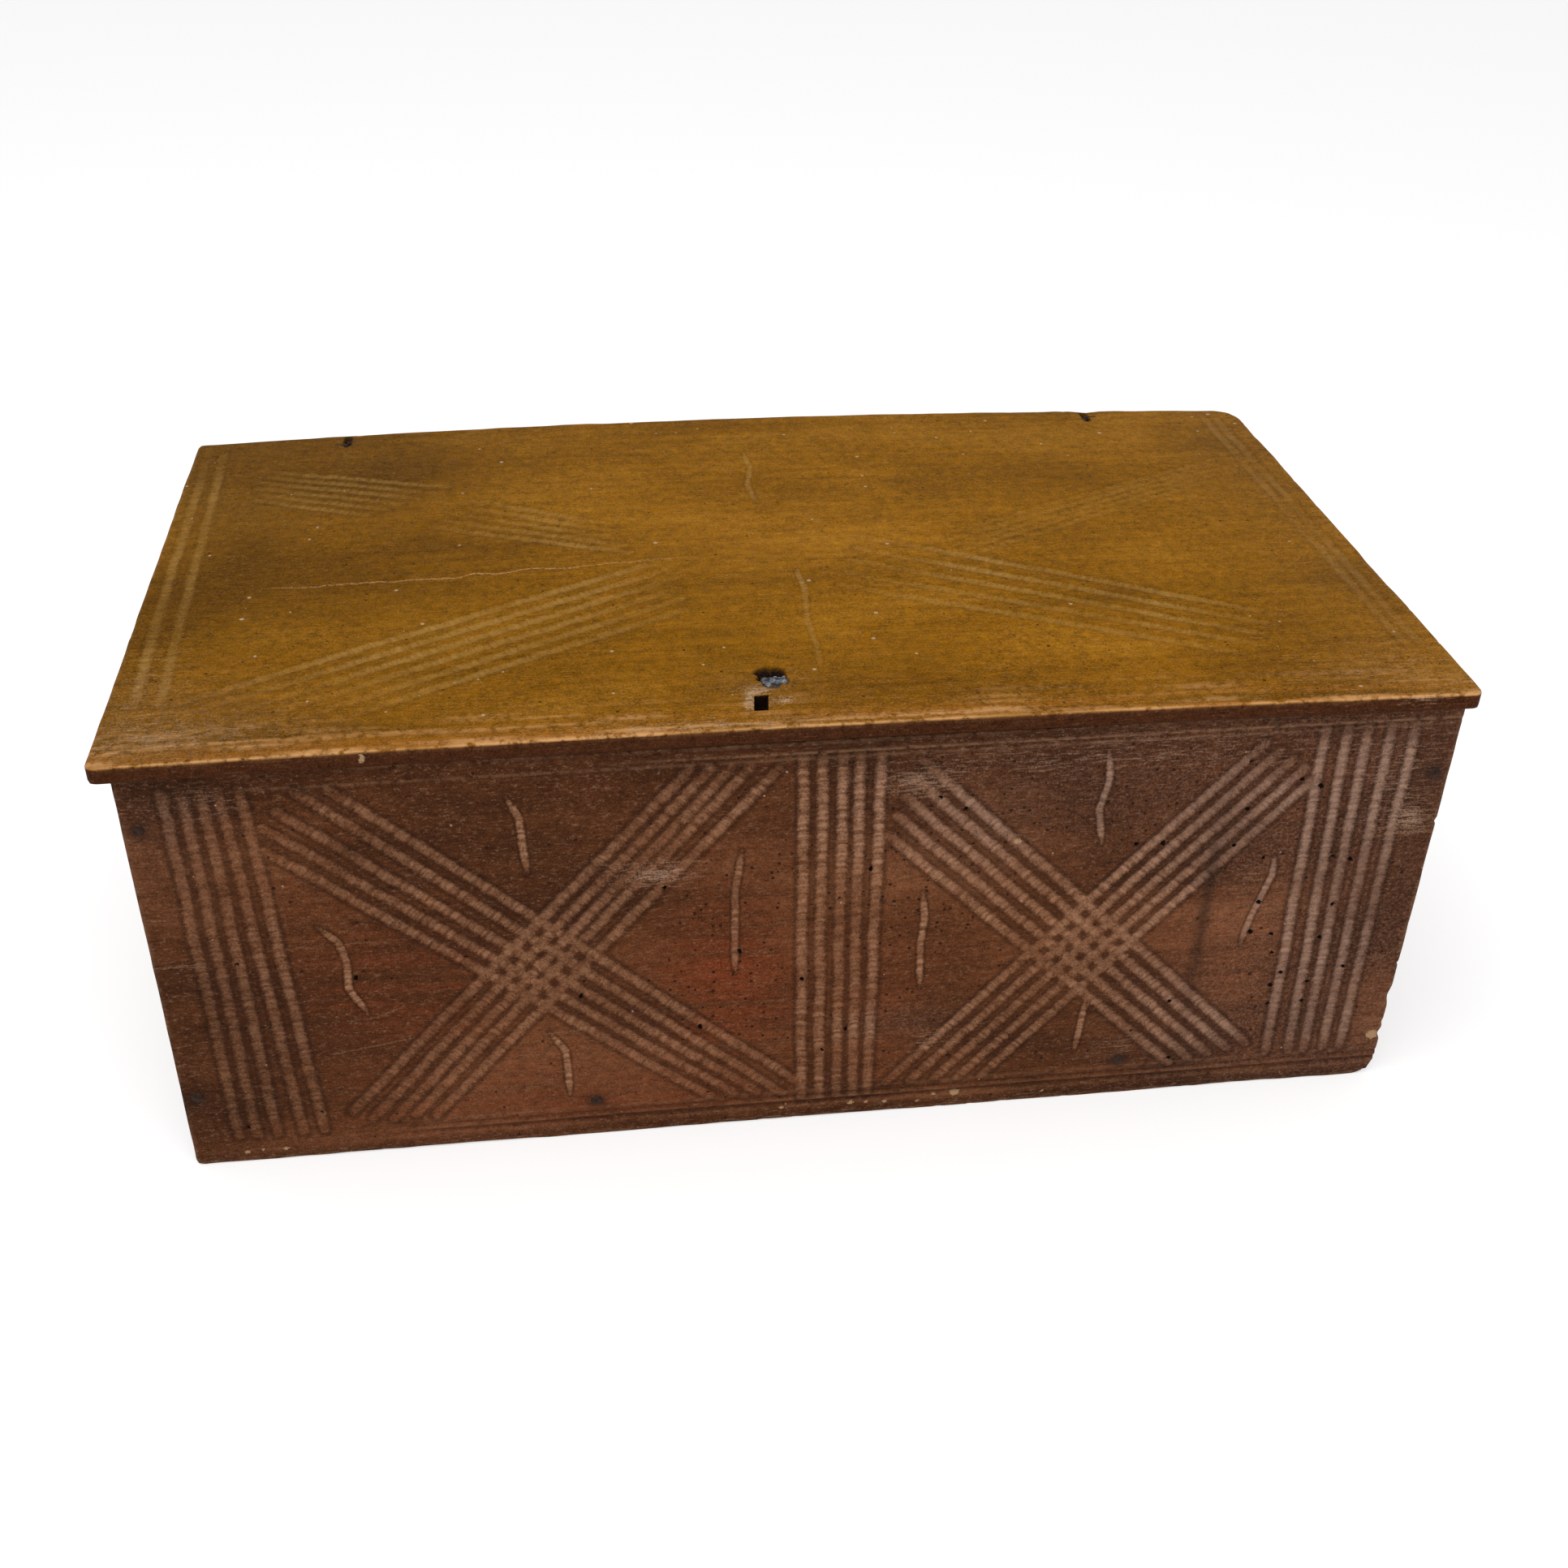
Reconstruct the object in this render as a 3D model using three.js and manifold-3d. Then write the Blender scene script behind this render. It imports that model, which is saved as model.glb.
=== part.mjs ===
import * as THREE from "three";
import { RoundedBoxGeometry } from "three/addons/geometries/RoundedBoxGeometry.js";
import { mergeVertices } from "three/addons/utils/BufferGeometryUtils.js";
import Module from "manifold-3d";

// A nailed box of six boards with a thin plank lid on two wire hinges.
// Lengths are millimetres. X runs to the right, Y to the back and Z up.
// The case frame has its origin at the front left foot of the case.

// Case
const CASE_WIDTH = 440;
const CASE_DEPTH = 244;
const CASE_HEIGHT = 165;
const FRONT_THICKNESS = 11;
const BACK_THICKNESS = 11;
const END_THICKNESS = 10.5;
const BOTTOM_THICKNESS = 11;
const BOTTOM_RAISE = 11;
const BOARD_ARRIS = 0.8;
const JOINT_GAP = 0.3;

// Lid
const LID_THICKNESS = 6.4;
const LID_LEFT_OVERHANG = 6.3;
const LID_RIGHT_OVERHANG = 3.5;
const LID_FRONT_OVERHANG = 3.5;
const LID_BACK_OVERHANG = 3.5;
const LID_BACK_BOW = 5.2;
const LID_ARCH = 1.8;
const LID_FRONT_RADIUS = 3;
const LID_BACK_LEFT_RADIUS = 4.5;
const LID_BACK_RIGHT_RADIUS = 13;

// Slot and pit of the lost hasp, measured back from the front face of the case
const SLOT_WIDTH = 4.7;
const SLOT_LENGTH = 9.3;
const SLOT_SETBACK = 8.6;
const SLOT_PLACE_SHARE = 0.4597;
const PIT_RADIUS = 5;
const PIT_FLOOR_RADIUS = 3.2;
const PIT_DEPTH = 3.6;
const PIT_SETBACK = 31;
const PIT_PLACE_SHARE = 0.469;
const STUB_WIDTH = 3;
const STUB_LEAN = THREE.MathUtils.degToRad(22);

// Wire hinges
const WIRE_RADIUS = 1;
const EYE_RADIUS = 2.8;
const LEG_GAP = 0.3;
const PIN_CLEARANCE = 0.35;
const HINGE_SETBACK = 1.4;
const LID_PIN_LEAN = THREE.MathUtils.degToRad(25);
const BACK_PIN_FALL = THREE.MathUtils.degToRad(45);
const CLENCH_LENGTH = 7;
const CLENCH_SINK = 0.4;
const BEND_RADIUS = 1.5;
const HINGE_SHARES = { left: 0.126, right: 0.85 };

// Nails
const NAIL_LENGTH = 27;
const NAIL_SHANK_RADIUS = 1.5;
const NAIL_TIP_RADIUS = 0.5;
const NAIL_HEAD_RADIUS = 2.7;
const NAIL_CROWN_RADIUS = 1.1;
const NAIL_HEAD_THICKNESS = 1.3;
const NAIL_HEAD_SINK = 0.7;
const NAIL_CLEARANCE = 0.25;
const NAIL_HEAD_SIDES = 7;

// Heights of the nails in the end boards, as shares of the case height
const FRONT_NAIL_SHARES = { left: [0.194, 0.881], right: [0.122, 0.838] };
const BACK_NAIL_SHARES = { left: [0.16, 0.83], right: [0.18, 0.86] };
// Places of the nails in the bottom board, as shares of the case width or depth
const FRONT_BOTTOM_NAIL_SHARES = [0.325, 0.767];
const BACK_BOTTOM_NAIL_SHARES = [0.29, 0.72];
const END_BOTTOM_NAIL_SHARES = [0.28, 0.74];

// Gouge flutes of the front
const FLUTE_WIDTH = 3.6;
const FLUTE_DEPTH = 0.45;
const FLUTES_IN_ROW = 5;
// Rows of flutes: each entry has the ends of the row's first and last flute as
// [x, z, x, z] shares of the case width and height.
const FLUTE_ROW_SHARES = [
  { first: [0.0323, 0.963, 0.0377, 0.114], last: [0.0855, 0.963, 0.1045, 0.114] },
  { first: [0.4891, 0.963, 0.4945, 0.08], last: [0.548, 0.963, 0.5507, 0.08] },
  { first: [0.8909, 0.963, 0.8982, 0.114], last: [0.9635, 0.963, 0.9648, 0.114] },
  { first: [0.0946, 0.82, 0.418, 0.088], last: [0.148, 0.947, 0.492, 0.109] },
  { first: [0.129, 0.122, 0.405, 0.947], last: [0.195, 0.093, 0.471, 0.939] },
  { first: [0.556, 0.764, 0.813, 0.08], last: [0.5795, 0.939, 0.879, 0.122] },
  { first: [0.566, 0.088, 0.8445, 0.934], last: [0.648, 0.088, 0.89, 0.841] },
];

// Cuts run past the faces they open by this much.
const OVERRUN = 5;
const MERGE_TOLERANCE = 0.0001;

const ARRIS_SEGMENTS = 2;
const WIRE_SIDES = 8;
const EYE_STEPS = 20;
const LEG_STEPS = 12;
const PLAN_SEGMENTS = 12;
const FLUTE_SIDES = 20;
const PIT_SIDES = 9;

const HALF = 0.5;
const X = new THREE.Vector3(1, 0, 0);
const Y = new THREE.Vector3(0, 1, 0);
const Z = new THREE.Vector3(0, 0, 1);

const LID_LEFT = -LID_LEFT_OVERHANG;
const LID_RIGHT = CASE_WIDTH + LID_RIGHT_OVERHANG;
const LID_FRONT = -LID_FRONT_OVERHANG;
const LID_BACK = CASE_DEPTH + LID_BACK_OVERHANG;
const LID_UNDERSIDE = CASE_HEIGHT + JOINT_GAP;
const BOTTOM_MIDDLE = BOTTOM_RAISE + BOTTOM_THICKNESS * HALF;

const wasm = await Module();
wasm.setup();

// A closed three.js geometry as a solid.
function solid(geometry) {
  const bare = geometry.index ? geometry.toNonIndexed() : geometry.clone();
  bare.deleteAttribute("normal");
  bare.deleteAttribute("uv");
  const merged = mergeVertices(bare, MERGE_TOLERANCE);
  const vertProperties = merged.attributes.position.array;
  const triVerts = new Uint32Array(merged.index.array);
  return new wasm.Manifold(new wasm.Mesh({ numProp: 3, vertProperties, triVerts }));
}

// A solid as a named, flat-shaded mesh.
function mesh(name, made, material) {
  const { vertProperties, triVerts } = made.getMesh();
  const shared = new THREE.BufferGeometry();
  shared.setAttribute("position", new THREE.BufferAttribute(vertProperties, 3));
  shared.setIndex(new THREE.BufferAttribute(triVerts, 1));
  const geometry = shared.toNonIndexed();
  geometry.computeVertexNormals();
  const result = new THREE.Mesh(geometry, material);
  result.name = name;
  return result;
}

function union(solids) {
  return solids.reduce((whole, next) => whole.add(next));
}

// A geometry for the block between two corners, with arrises of the given radius.
function block(low, high, arris) {
  const size = high.clone().sub(low);
  const geometry =
    arris > 0
      ? new RoundedBoxGeometry(size.x, size.y, size.z, ARRIS_SEGMENTS, arris)
      : new THREE.BoxGeometry(size.x, size.y, size.z);
  const centre = low.clone().lerp(high, HALF);
  return geometry.translate(centre.x, centre.y, centre.z);
}

function board(low, high) {
  return solid(block(new THREE.Vector3(...low), new THREE.Vector3(...high), BOARD_ARRIS));
}

function cutBlock(low, high) {
  return solid(block(new THREE.Vector3(...low), new THREE.Vector3(...high), 0));
}

// A round rod of the given radius along a curve.
function rod(curve, radius, sides, steps) {
  const section = new THREE.Shape();
  section.absarc(0, 0, radius, 0, 2 * Math.PI);
  const options = { extrudePath: curve, steps, curveSegments: sides * HALF };
  return solid(new THREE.ExtrudeGeometry(section, options));
}

function frontBoard() {
  return board([0, 0, 0], [CASE_WIDTH, FRONT_THICKNESS, CASE_HEIGHT]);
}

function backBoard() {
  return board([0, CASE_DEPTH - BACK_THICKNESS, 0], [CASE_WIDTH, CASE_DEPTH, CASE_HEIGHT]);
}

// The end boards stand between the front and the back board.
function endBoard(left) {
  const front = FRONT_THICKNESS + JOINT_GAP;
  const back = CASE_DEPTH - BACK_THICKNESS - JOINT_GAP;
  return board([left, front, 0], [left + END_THICKNESS, back, CASE_HEIGHT]);
}

function bottomBoard() {
  const side = END_THICKNESS + JOINT_GAP;
  const front = FRONT_THICKNESS + JOINT_GAP;
  const back = CASE_DEPTH - BACK_THICKNESS - JOINT_GAP;
  const top = BOTTOM_RAISE + BOTTOM_THICKNESS;
  return board([side, front, BOTTOM_RAISE], [CASE_WIDTH - side, back, top]);
}

// Gouge flutes, as round rods that dip into the front face.
function fluteCuts() {
  const chord = FLUTE_WIDTH * HALF;
  const radius = (chord * chord + FLUTE_DEPTH * FLUTE_DEPTH) / (2 * FLUTE_DEPTH);
  const point = (xShare, zShare) =>
    new THREE.Vector3(xShare * CASE_WIDTH, FLUTE_DEPTH - radius, zShare * CASE_HEIGHT);
  const cuts = [];
  for (const { first, last } of FLUTE_ROW_SHARES) {
    for (let i = 0; i < FLUTES_IN_ROW; i++) {
      const along = i / (FLUTES_IN_ROW - 1);
      const ends = first.map((share, k) => THREE.MathUtils.lerp(share, last[k], along));
      const line = new THREE.LineCurve3(point(ends[0], ends[1]), point(ends[2], ends[3]));
      cuts.push(rod(line, radius, FLUTE_SIDES, 1));
    }
  }
  return union(cuts);
}

// The height that the arched lid has gained at x.
function archHeight(x) {
  const share = (x - LID_LEFT) / (LID_RIGHT - LID_LEFT);
  return LID_ARCH * 4 * share * (1 - share);
}

// The plank seen from above: rounded corners and a back edge that bows outward.
function lidOutline() {
  const left = LID_LEFT;
  const right = LID_RIGHT;
  const middle = (left + right) * HALF;
  const outline = new THREE.Shape();
  outline.moveTo(left + LID_FRONT_RADIUS, LID_FRONT);
  outline.lineTo(right - LID_FRONT_RADIUS, LID_FRONT);
  outline.quadraticCurveTo(right, LID_FRONT, right, LID_FRONT + LID_FRONT_RADIUS);
  outline.lineTo(right, LID_BACK - LID_BACK_RIGHT_RADIUS);
  outline.quadraticCurveTo(right, LID_BACK, right - LID_BACK_RIGHT_RADIUS, LID_BACK);
  const bowed = LID_BACK + 2 * LID_BACK_BOW;
  outline.quadraticCurveTo(middle, bowed, left + LID_BACK_LEFT_RADIUS, LID_BACK);
  outline.quadraticCurveTo(left, LID_BACK, left, LID_BACK - LID_BACK_LEFT_RADIUS);
  outline.lineTo(left, LID_FRONT + LID_FRONT_RADIUS);
  outline.quadraticCurveTo(left, LID_FRONT, left + LID_FRONT_RADIUS, LID_FRONT);
  return outline;
}

// The plank seen from the front: top and underside share one gentle arch.
function lidProfile() {
  const middle = (LID_LEFT + LID_RIGHT) * HALF;
  const top = LID_UNDERSIDE + LID_THICKNESS;
  const rise = 2 * LID_ARCH;
  const profile = new THREE.Shape();
  profile.moveTo(LID_LEFT, LID_UNDERSIDE);
  profile.quadraticCurveTo(middle, LID_UNDERSIDE + rise, LID_RIGHT, LID_UNDERSIDE);
  profile.lineTo(LID_RIGHT, top);
  profile.quadraticCurveTo(middle, top + rise, LID_LEFT, top);
  return profile;
}

function lidPlank() {
  const options = { depth: 1, bevelEnabled: false, curveSegments: PLAN_SEGMENTS };
  const plan = new THREE.ExtrudeGeometry(lidOutline(), options);
  const height = LID_THICKNESS + LID_ARCH + 2 * OVERRUN;
  plan.scale(1, 1, height).translate(0, 0, LID_UNDERSIDE - OVERRUN);
  const arch = new THREE.ExtrudeGeometry(lidProfile(), options);
  const depth = LID_BACK - LID_FRONT + LID_BACK_BOW + 2 * OVERRUN;
  arch.scale(1, 1, depth).rotateX(Math.PI * HALF);
  arch.translate(0, LID_FRONT + depth - OVERRUN, 0);
  return solid(plan).intersect(solid(arch));
}

function slotCut() {
  const left = SLOT_PLACE_SHARE * CASE_WIDTH - SLOT_WIDTH * HALF;
  const top = LID_UNDERSIDE + LID_THICKNESS + LID_ARCH + OVERRUN;
  return cutBlock(
    [left, SLOT_SETBACK, LID_UNDERSIDE - OVERRUN],
    [left + SLOT_WIDTH, SLOT_SETBACK + SLOT_LENGTH, top],
  );
}

// The floor of the pit at its centre.
function pitFloor() {
  const x = PIT_PLACE_SHARE * CASE_WIDTH;
  const z = LID_UNDERSIDE + archHeight(x) + LID_THICKNESS - PIT_DEPTH;
  return new THREE.Vector3(x, PIT_SETBACK, z);
}

// A torn pit that narrows to its floor.
function pitCut() {
  const floor = pitFloor();
  const slope = (PIT_RADIUS - PIT_FLOOR_RADIUS) / PIT_DEPTH;
  const height = PIT_DEPTH + OVERRUN;
  const mouth = PIT_FLOOR_RADIUS + slope * height;
  const cone = new THREE.CylinderGeometry(mouth, PIT_FLOOR_RADIUS, height, PIT_SIDES);
  cone.rotateX(Math.PI * HALF).translate(floor.x, floor.y, floor.z + height * HALF);
  return solid(cone);
}

// The stub of the hasp's fastening: a square bar that leans forward out of the pit's floor.
function stub(clearance) {
  const width = STUB_WIDTH + 2 * clearance;
  const below = (LID_THICKNESS - PIT_DEPTH) / Math.cos(STUB_LEAN) + clearance;
  const above = PIT_DEPTH / Math.cos(STUB_LEAN) - STUB_WIDTH * HALF;
  const bar = new THREE.BoxGeometry(width, width, below + above);
  bar.translate(0, 0, (above - below) * HALF);
  const floor = pitFloor();
  bar.rotateX(STUB_LEAN).translate(floor.x, floor.y, floor.z);
  return solid(bar);
}

// The point on a hinge's axis that the two eyes share.
function hingePoint(side) {
  const drop = WIRE_RADIUS + PIN_CLEARANCE;
  const y = CASE_DEPTH + HINGE_SETBACK;
  return new THREE.Vector3(HINGE_SHARES[side] * CASE_WIDTH, y, CASE_HEIGHT - drop);
}

// An eye of wire in the plane of the two given directions.
function eye(centre, across, along, wire) {
  const ring = new THREE.TorusGeometry(EYE_RADIUS, wire, WIRE_SIDES, EYE_STEPS);
  const normal = across.clone().cross(along);
  ring.applyMatrix4(new THREE.Matrix4().makeBasis(across, along, normal));
  return solid(ring.translate(centre.x, centre.y, centre.z));
}

// A leg of wire that runs to a corner, bends there and lies along the clench direction.
function leg(start, corner, clench, wire) {
  const along = corner.clone().sub(start).normalize();
  const bendStart = corner.clone().addScaledVector(along, -BEND_RADIUS);
  const bendEnd = corner.clone().addScaledVector(clench, BEND_RADIUS);
  const tip = corner.clone().addScaledVector(clench, CLENCH_LENGTH);
  const path = new THREE.CurvePath();
  path.add(new THREE.LineCurve3(start, bendStart));
  path.add(new THREE.QuadraticBezierCurve3(bendStart, corner, bendEnd));
  path.add(new THREE.LineCurve3(bendEnd, tip));
  return rod(path, wire, WIRE_SIDES, LEG_STEPS);
}

// A split pin: an eye and two legs that end at a plane and are clenched apart there.
// reach(start) gives the length of the leg that starts at that point.
function splitPin(centre, across, along, reach, growth) {
  const wire = WIRE_RADIUS + growth;
  const spread = WIRE_RADIUS + LEG_GAP * HALF;
  const rise = Math.sqrt(EYE_RADIUS * EYE_RADIUS - spread * spread);
  const legs = [-1, 1].map((side) => {
    const start = centre.clone().addScaledVector(across, side * spread);
    start.addScaledVector(along, rise);
    const corner = start.clone().addScaledVector(along, reach(start));
    return leg(start, corner, X.clone().multiplyScalar(side), wire);
  });
  return union([eye(centre, across, along, wire), ...legs]);
}

// The pin through the lid. Its eye stands across the hinge's axis, round it.
function lidPin(side, growth) {
  const centre = hingePoint(side);
  const along = Z.clone().applyAxisAngle(X, LID_PIN_LEAN);
  const across = Y.clone().applyAxisAngle(X, LID_PIN_LEAN);
  const top = LID_UNDERSIDE + archHeight(centre.x) + LID_THICKNESS - CLENCH_SINK;
  return splitPin(centre, across, along, (start) => (top - start.z) / along.z, growth);
}

// The pin through the back board. Its eye passes through the other eye on the axis.
function backPin(side, growth) {
  const along = Y.clone().negate().applyAxisAngle(X, BACK_PIN_FALL);
  const centre = hingePoint(side).addScaledVector(along, EYE_RADIUS);
  const inside = CASE_DEPTH - BACK_THICKNESS - WIRE_RADIUS - PIN_CLEARANCE;
  return splitPin(centre, X, along, (start) => (inside - start.y) / along.y, growth);
}

// The slot in the lid's back edge that the lid pin's eye and legs pass through.
function hingeSlot(side) {
  const axis = hingePoint(side);
  const half = WIRE_RADIUS + PIN_CLEARANCE;
  const top = LID_UNDERSIDE + archHeight(axis.x) + LID_THICKNESS;
  const lean = (top - axis.z) * Math.tan(LID_PIN_LEAN);
  const legs = 2 * WIRE_RADIUS + LEG_GAP * HALF + PIN_CLEARANCE;
  return cutBlock(
    [axis.x - half, axis.y - lean - legs, LID_UNDERSIDE - OVERRUN],
    [axis.x + half, LID_BACK + LID_BACK_BOW + OVERRUN, top + OVERRUN],
  );
}

// The pocket chopped into the back board's top arris for the eyes.
function hingePocket(side) {
  const axis = hingePoint(side);
  const half = EYE_RADIUS + WIRE_RADIUS + PIN_CLEARANCE;
  const deep = 2 * EYE_RADIUS * Math.cos(BACK_PIN_FALL) + WIRE_RADIUS + PIN_CLEARANCE;
  const low = 2 * EYE_RADIUS * Math.sin(BACK_PIN_FALL) + WIRE_RADIUS + PIN_CLEARANCE;
  return cutBlock(
    [axis.x - half, axis.y - deep, axis.z - low],
    [axis.x + half, CASE_DEPTH + OVERRUN, CASE_HEIGHT + OVERRUN],
  );
}

// A forged nail driven along +Y: a square shank under a faceted rose head.
function nail(headed, growth) {
  const shank = new THREE.CylinderGeometry(
    NAIL_TIP_RADIUS + growth,
    NAIL_SHANK_RADIUS + growth,
    NAIL_LENGTH + growth,
    4,
  );
  shank.rotateY(Math.PI / 4).translate(0, (NAIL_LENGTH + growth) * HALF, 0);
  if (!headed) return solid(shank);
  const head = new THREE.CylinderGeometry(
    NAIL_HEAD_RADIUS + growth,
    NAIL_CROWN_RADIUS + growth,
    NAIL_HEAD_THICKNESS + 2 * growth,
    NAIL_HEAD_SIDES,
  );
  head.translate(0, NAIL_HEAD_SINK - NAIL_HEAD_THICKNESS * HALF, 0);
  return solid(shank).add(solid(head));
}

// Every nail: its name, point of entry, drive direction and the boards it holds.
function nailList() {
  const list = [];
  const add = (name, point, drive, boards) => list.push({ name, point, drive, boards });
  const leftMiddle = END_THICKNESS * HALF;
  const middles = { left: leftMiddle, right: CASE_WIDTH - leftMiddle };
  for (const [side, x] of Object.entries(middles)) {
    const end = `${side}_end_board`;
    ["lower", "upper"].forEach((level, i) => {
      const front = [x, 0, FRONT_NAIL_SHARES[side][i] * CASE_HEIGHT];
      const back = [x, CASE_DEPTH, BACK_NAIL_SHARES[side][i] * CASE_HEIGHT];
      add(`nail_front_${side}_${level}`, front, Y, ["front_board", end]);
      add(`nail_back_${side}_${level}`, back, Y.clone().negate(), ["back_board", end]);
    });
    const outside = side === "left" ? 0 : CASE_WIDTH;
    const inward = side === "left" ? X : X.clone().negate();
    ["front", "rear"].forEach((place, i) => {
      const point = [outside, END_BOTTOM_NAIL_SHARES[i] * CASE_DEPTH, BOTTOM_MIDDLE];
      add(`nail_${side}_end_${place}`, point, inward, [end, "bottom_board"]);
    });
  }
  ["left", "right"].forEach((side, i) => {
    const front = [FRONT_BOTTOM_NAIL_SHARES[i] * CASE_WIDTH, 0, BOTTOM_MIDDLE];
    const back = [BACK_BOTTOM_NAIL_SHARES[i] * CASE_WIDTH, CASE_DEPTH, BOTTOM_MIDDLE];
    add(`nail_front_bottom_${side}`, front, Y, ["front_board", "bottom_board"]);
    add(`nail_back_bottom_${side}`, back, Y.clone().negate(), ["back_board", "bottom_board"]);
  });
  return list;
}

// The nail at the front's lower right corner has lost its head.
const HEADLESS_NAIL = "nail_front_right_lower";

function drivenNail({ name, point, drive }, growth) {
  const turn = new THREE.Quaternion().setFromUnitVectors(Y, drive);
  const place = new THREE.Matrix4().compose(
    new THREE.Vector3(...point),
    turn,
    new THREE.Vector3(1, 1, 1),
  );
  return nail(name !== HEADLESS_NAIL, growth).transform(place.elements);
}

const caseWood = new THREE.MeshStandardMaterial({ color: 0x5c3b29, roughness: 0.5, metalness: 0 });
const lidWood = new THREE.MeshStandardMaterial({ color: 0x7a5518, roughness: 0.45, metalness: 0 });
const iron = new THREE.MeshStandardMaterial({ color: 0x3b3633, roughness: 0.6, metalness: 0.8 });

// The case, with every nail hole and hinge seat cut into its boards.
function caseGroup() {
  const boards = {
    front_board: frontBoard().subtract(fluteCuts()),
    back_board: backBoard(),
    left_end_board: endBoard(0),
    right_end_board: endBoard(CASE_WIDTH - END_THICKNESS),
    bottom_board: bottomBoard(),
  };
  const group = new THREE.Group();
  for (const entry of nailList()) {
    const hole = drivenNail(entry, NAIL_CLEARANCE);
    for (const name of entry.boards) boards[name] = boards[name].subtract(hole);
    group.add(mesh(entry.name, drivenNail(entry, 0), iron));
  }
  for (const side of Object.keys(HINGE_SHARES)) {
    const seat = hingePocket(side).add(backPin(side, PIN_CLEARANCE));
    boards.back_board = boards.back_board.subtract(seat);
    group.add(mesh(`hinge_${side}_back_pin`, backPin(side, 0), iron));
  }
  for (const [name, made] of Object.entries(boards)) group.add(mesh(name, made, caseWood));
  return group;
}

function lidGroup() {
  const group = new THREE.Group();
  let plank = lidPlank().subtract(slotCut()).subtract(pitCut());
  plank = plank.subtract(stub(PIN_CLEARANCE));
  for (const side of Object.keys(HINGE_SHARES)) {
    plank = plank.subtract(hingeSlot(side).add(lidPin(side, PIN_CLEARANCE)));
    group.add(mesh(`hinge_${side}_lid_pin`, lidPin(side, 0), iron));
  }
  group.add(mesh("lid_board", plank, lidWood));
  group.add(mesh("hasp_stub", stub(0), iron));
  return group;
}

// The part's origin is under the middle of the box, on the floor.
const box = new THREE.Group();
const inner = new THREE.Group();
inner.add(caseGroup(), lidGroup());
const backmost = LID_BACK + LID_BACK_BOW;
inner.position.set(-(LID_LEFT + LID_RIGHT) * HALF, -(LID_FRONT + backmost) * HALF, 0);
box.add(inner);

export default box;
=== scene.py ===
"""A nailed box of six planks, its thin plank lid on two wire hinges and its gouged front.

Lengths are millimetres until a mesh is written, and meshes are in metres. On each board
u runs along its length, v across its width, and w from its seen face inwards.
"""

import logging
import math
from dataclasses import dataclass, field, replace
from enum import Enum
from functools import cached_property, partial

import bpy
import numpy as np
from mathutils import Matrix, Vector


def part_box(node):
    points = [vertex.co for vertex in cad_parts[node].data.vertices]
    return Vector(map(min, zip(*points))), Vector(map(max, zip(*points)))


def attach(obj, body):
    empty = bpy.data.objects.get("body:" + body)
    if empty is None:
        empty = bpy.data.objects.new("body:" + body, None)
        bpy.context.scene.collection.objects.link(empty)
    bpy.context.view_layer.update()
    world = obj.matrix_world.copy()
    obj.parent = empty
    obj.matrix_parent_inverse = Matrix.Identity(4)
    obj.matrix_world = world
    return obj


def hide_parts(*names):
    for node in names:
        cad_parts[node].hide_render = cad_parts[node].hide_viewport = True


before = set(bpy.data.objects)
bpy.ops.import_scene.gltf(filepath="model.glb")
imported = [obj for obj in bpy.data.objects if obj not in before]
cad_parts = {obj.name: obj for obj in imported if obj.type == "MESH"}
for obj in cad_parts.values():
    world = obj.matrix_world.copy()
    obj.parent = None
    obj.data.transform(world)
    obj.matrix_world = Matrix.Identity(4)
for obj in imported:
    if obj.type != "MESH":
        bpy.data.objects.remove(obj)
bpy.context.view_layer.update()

log = logging.getLogger("wooden_box")
Array = np.ndarray

METRE = 0.001
# A cut mark of this value lies on the edge of a gouge cut; more is inside it.
CUT_EDGE = 3.0
# Random values along each side of a drift's lattice, after which it repeats.
TABLE = 67
# A distance beyond any on the box, a length too short to divide by, and how near to a
# side a point lies on it.
FAR, TINY, TOUCH = 1e9, 1e-9, 1e-6
# How far to either side of a scratch it is measured.
SCRATCH_REACH = 1.6
# The x of each wire hinge, and the y and z of the axis on which both turn.
HINGES = {"left": -163.16, "right": 155.4}
HINGE_AXIS = (120.8, 163.65)


# Shapes worked out as whole arrays


def ease(t: Array) -> Array:
    """Smoothstep: 3t^2 - 2t^3 of t held between 0 and 1."""
    t = np.clip(t, 0, 1)
    return t * t * (3 - 2 * t)


def drift(a: Array, b: Array, pitch: float, seed: int) -> Array:
    """Smooth random field over two lengths.

    Seeded values from -1 to 1 stand on a square lattice and are joined by smoothstep
    weights in both directions.

    Args:
        a: First length of each point.
        b: Second length of each point.
        pitch: Spacing of the random values.
        seed: Seed of the random values.

    Returns:
        One value from -1 to 1 for each point.
    """
    values = np.random.default_rng(seed).uniform(-1, 1, (TABLE, TABLE))
    p, q = np.broadcast_arrays(np.asarray(a, float) / pitch, np.asarray(b, float) / pitch)
    i, j = np.floor(p).astype(int), np.floor(q).astype(int)
    s, t = ease(p - i), ease(q - j)
    near = values[i % TABLE, j % TABLE] * (1 - s) + values[(i + 1) % TABLE, j % TABLE] * s
    far = values[i % TABLE, (j + 1) % TABLE] * (1 - s)
    far = far + values[(i + 1) % TABLE, (j + 1) % TABLE] * s
    return near * (1 - t) + far * t


def spot(u: Array, v: Array, centre: tuple[float, float], size: tuple[float, float]) -> Array:
    """Soft round patch: exp(-(du/size)^2 - (dv/size)^2) about its centre."""
    return np.exp(-(((u - centre[0]) / size[0]) ** 2) - ((v - centre[1]) / size[1]) ** 2)


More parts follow.
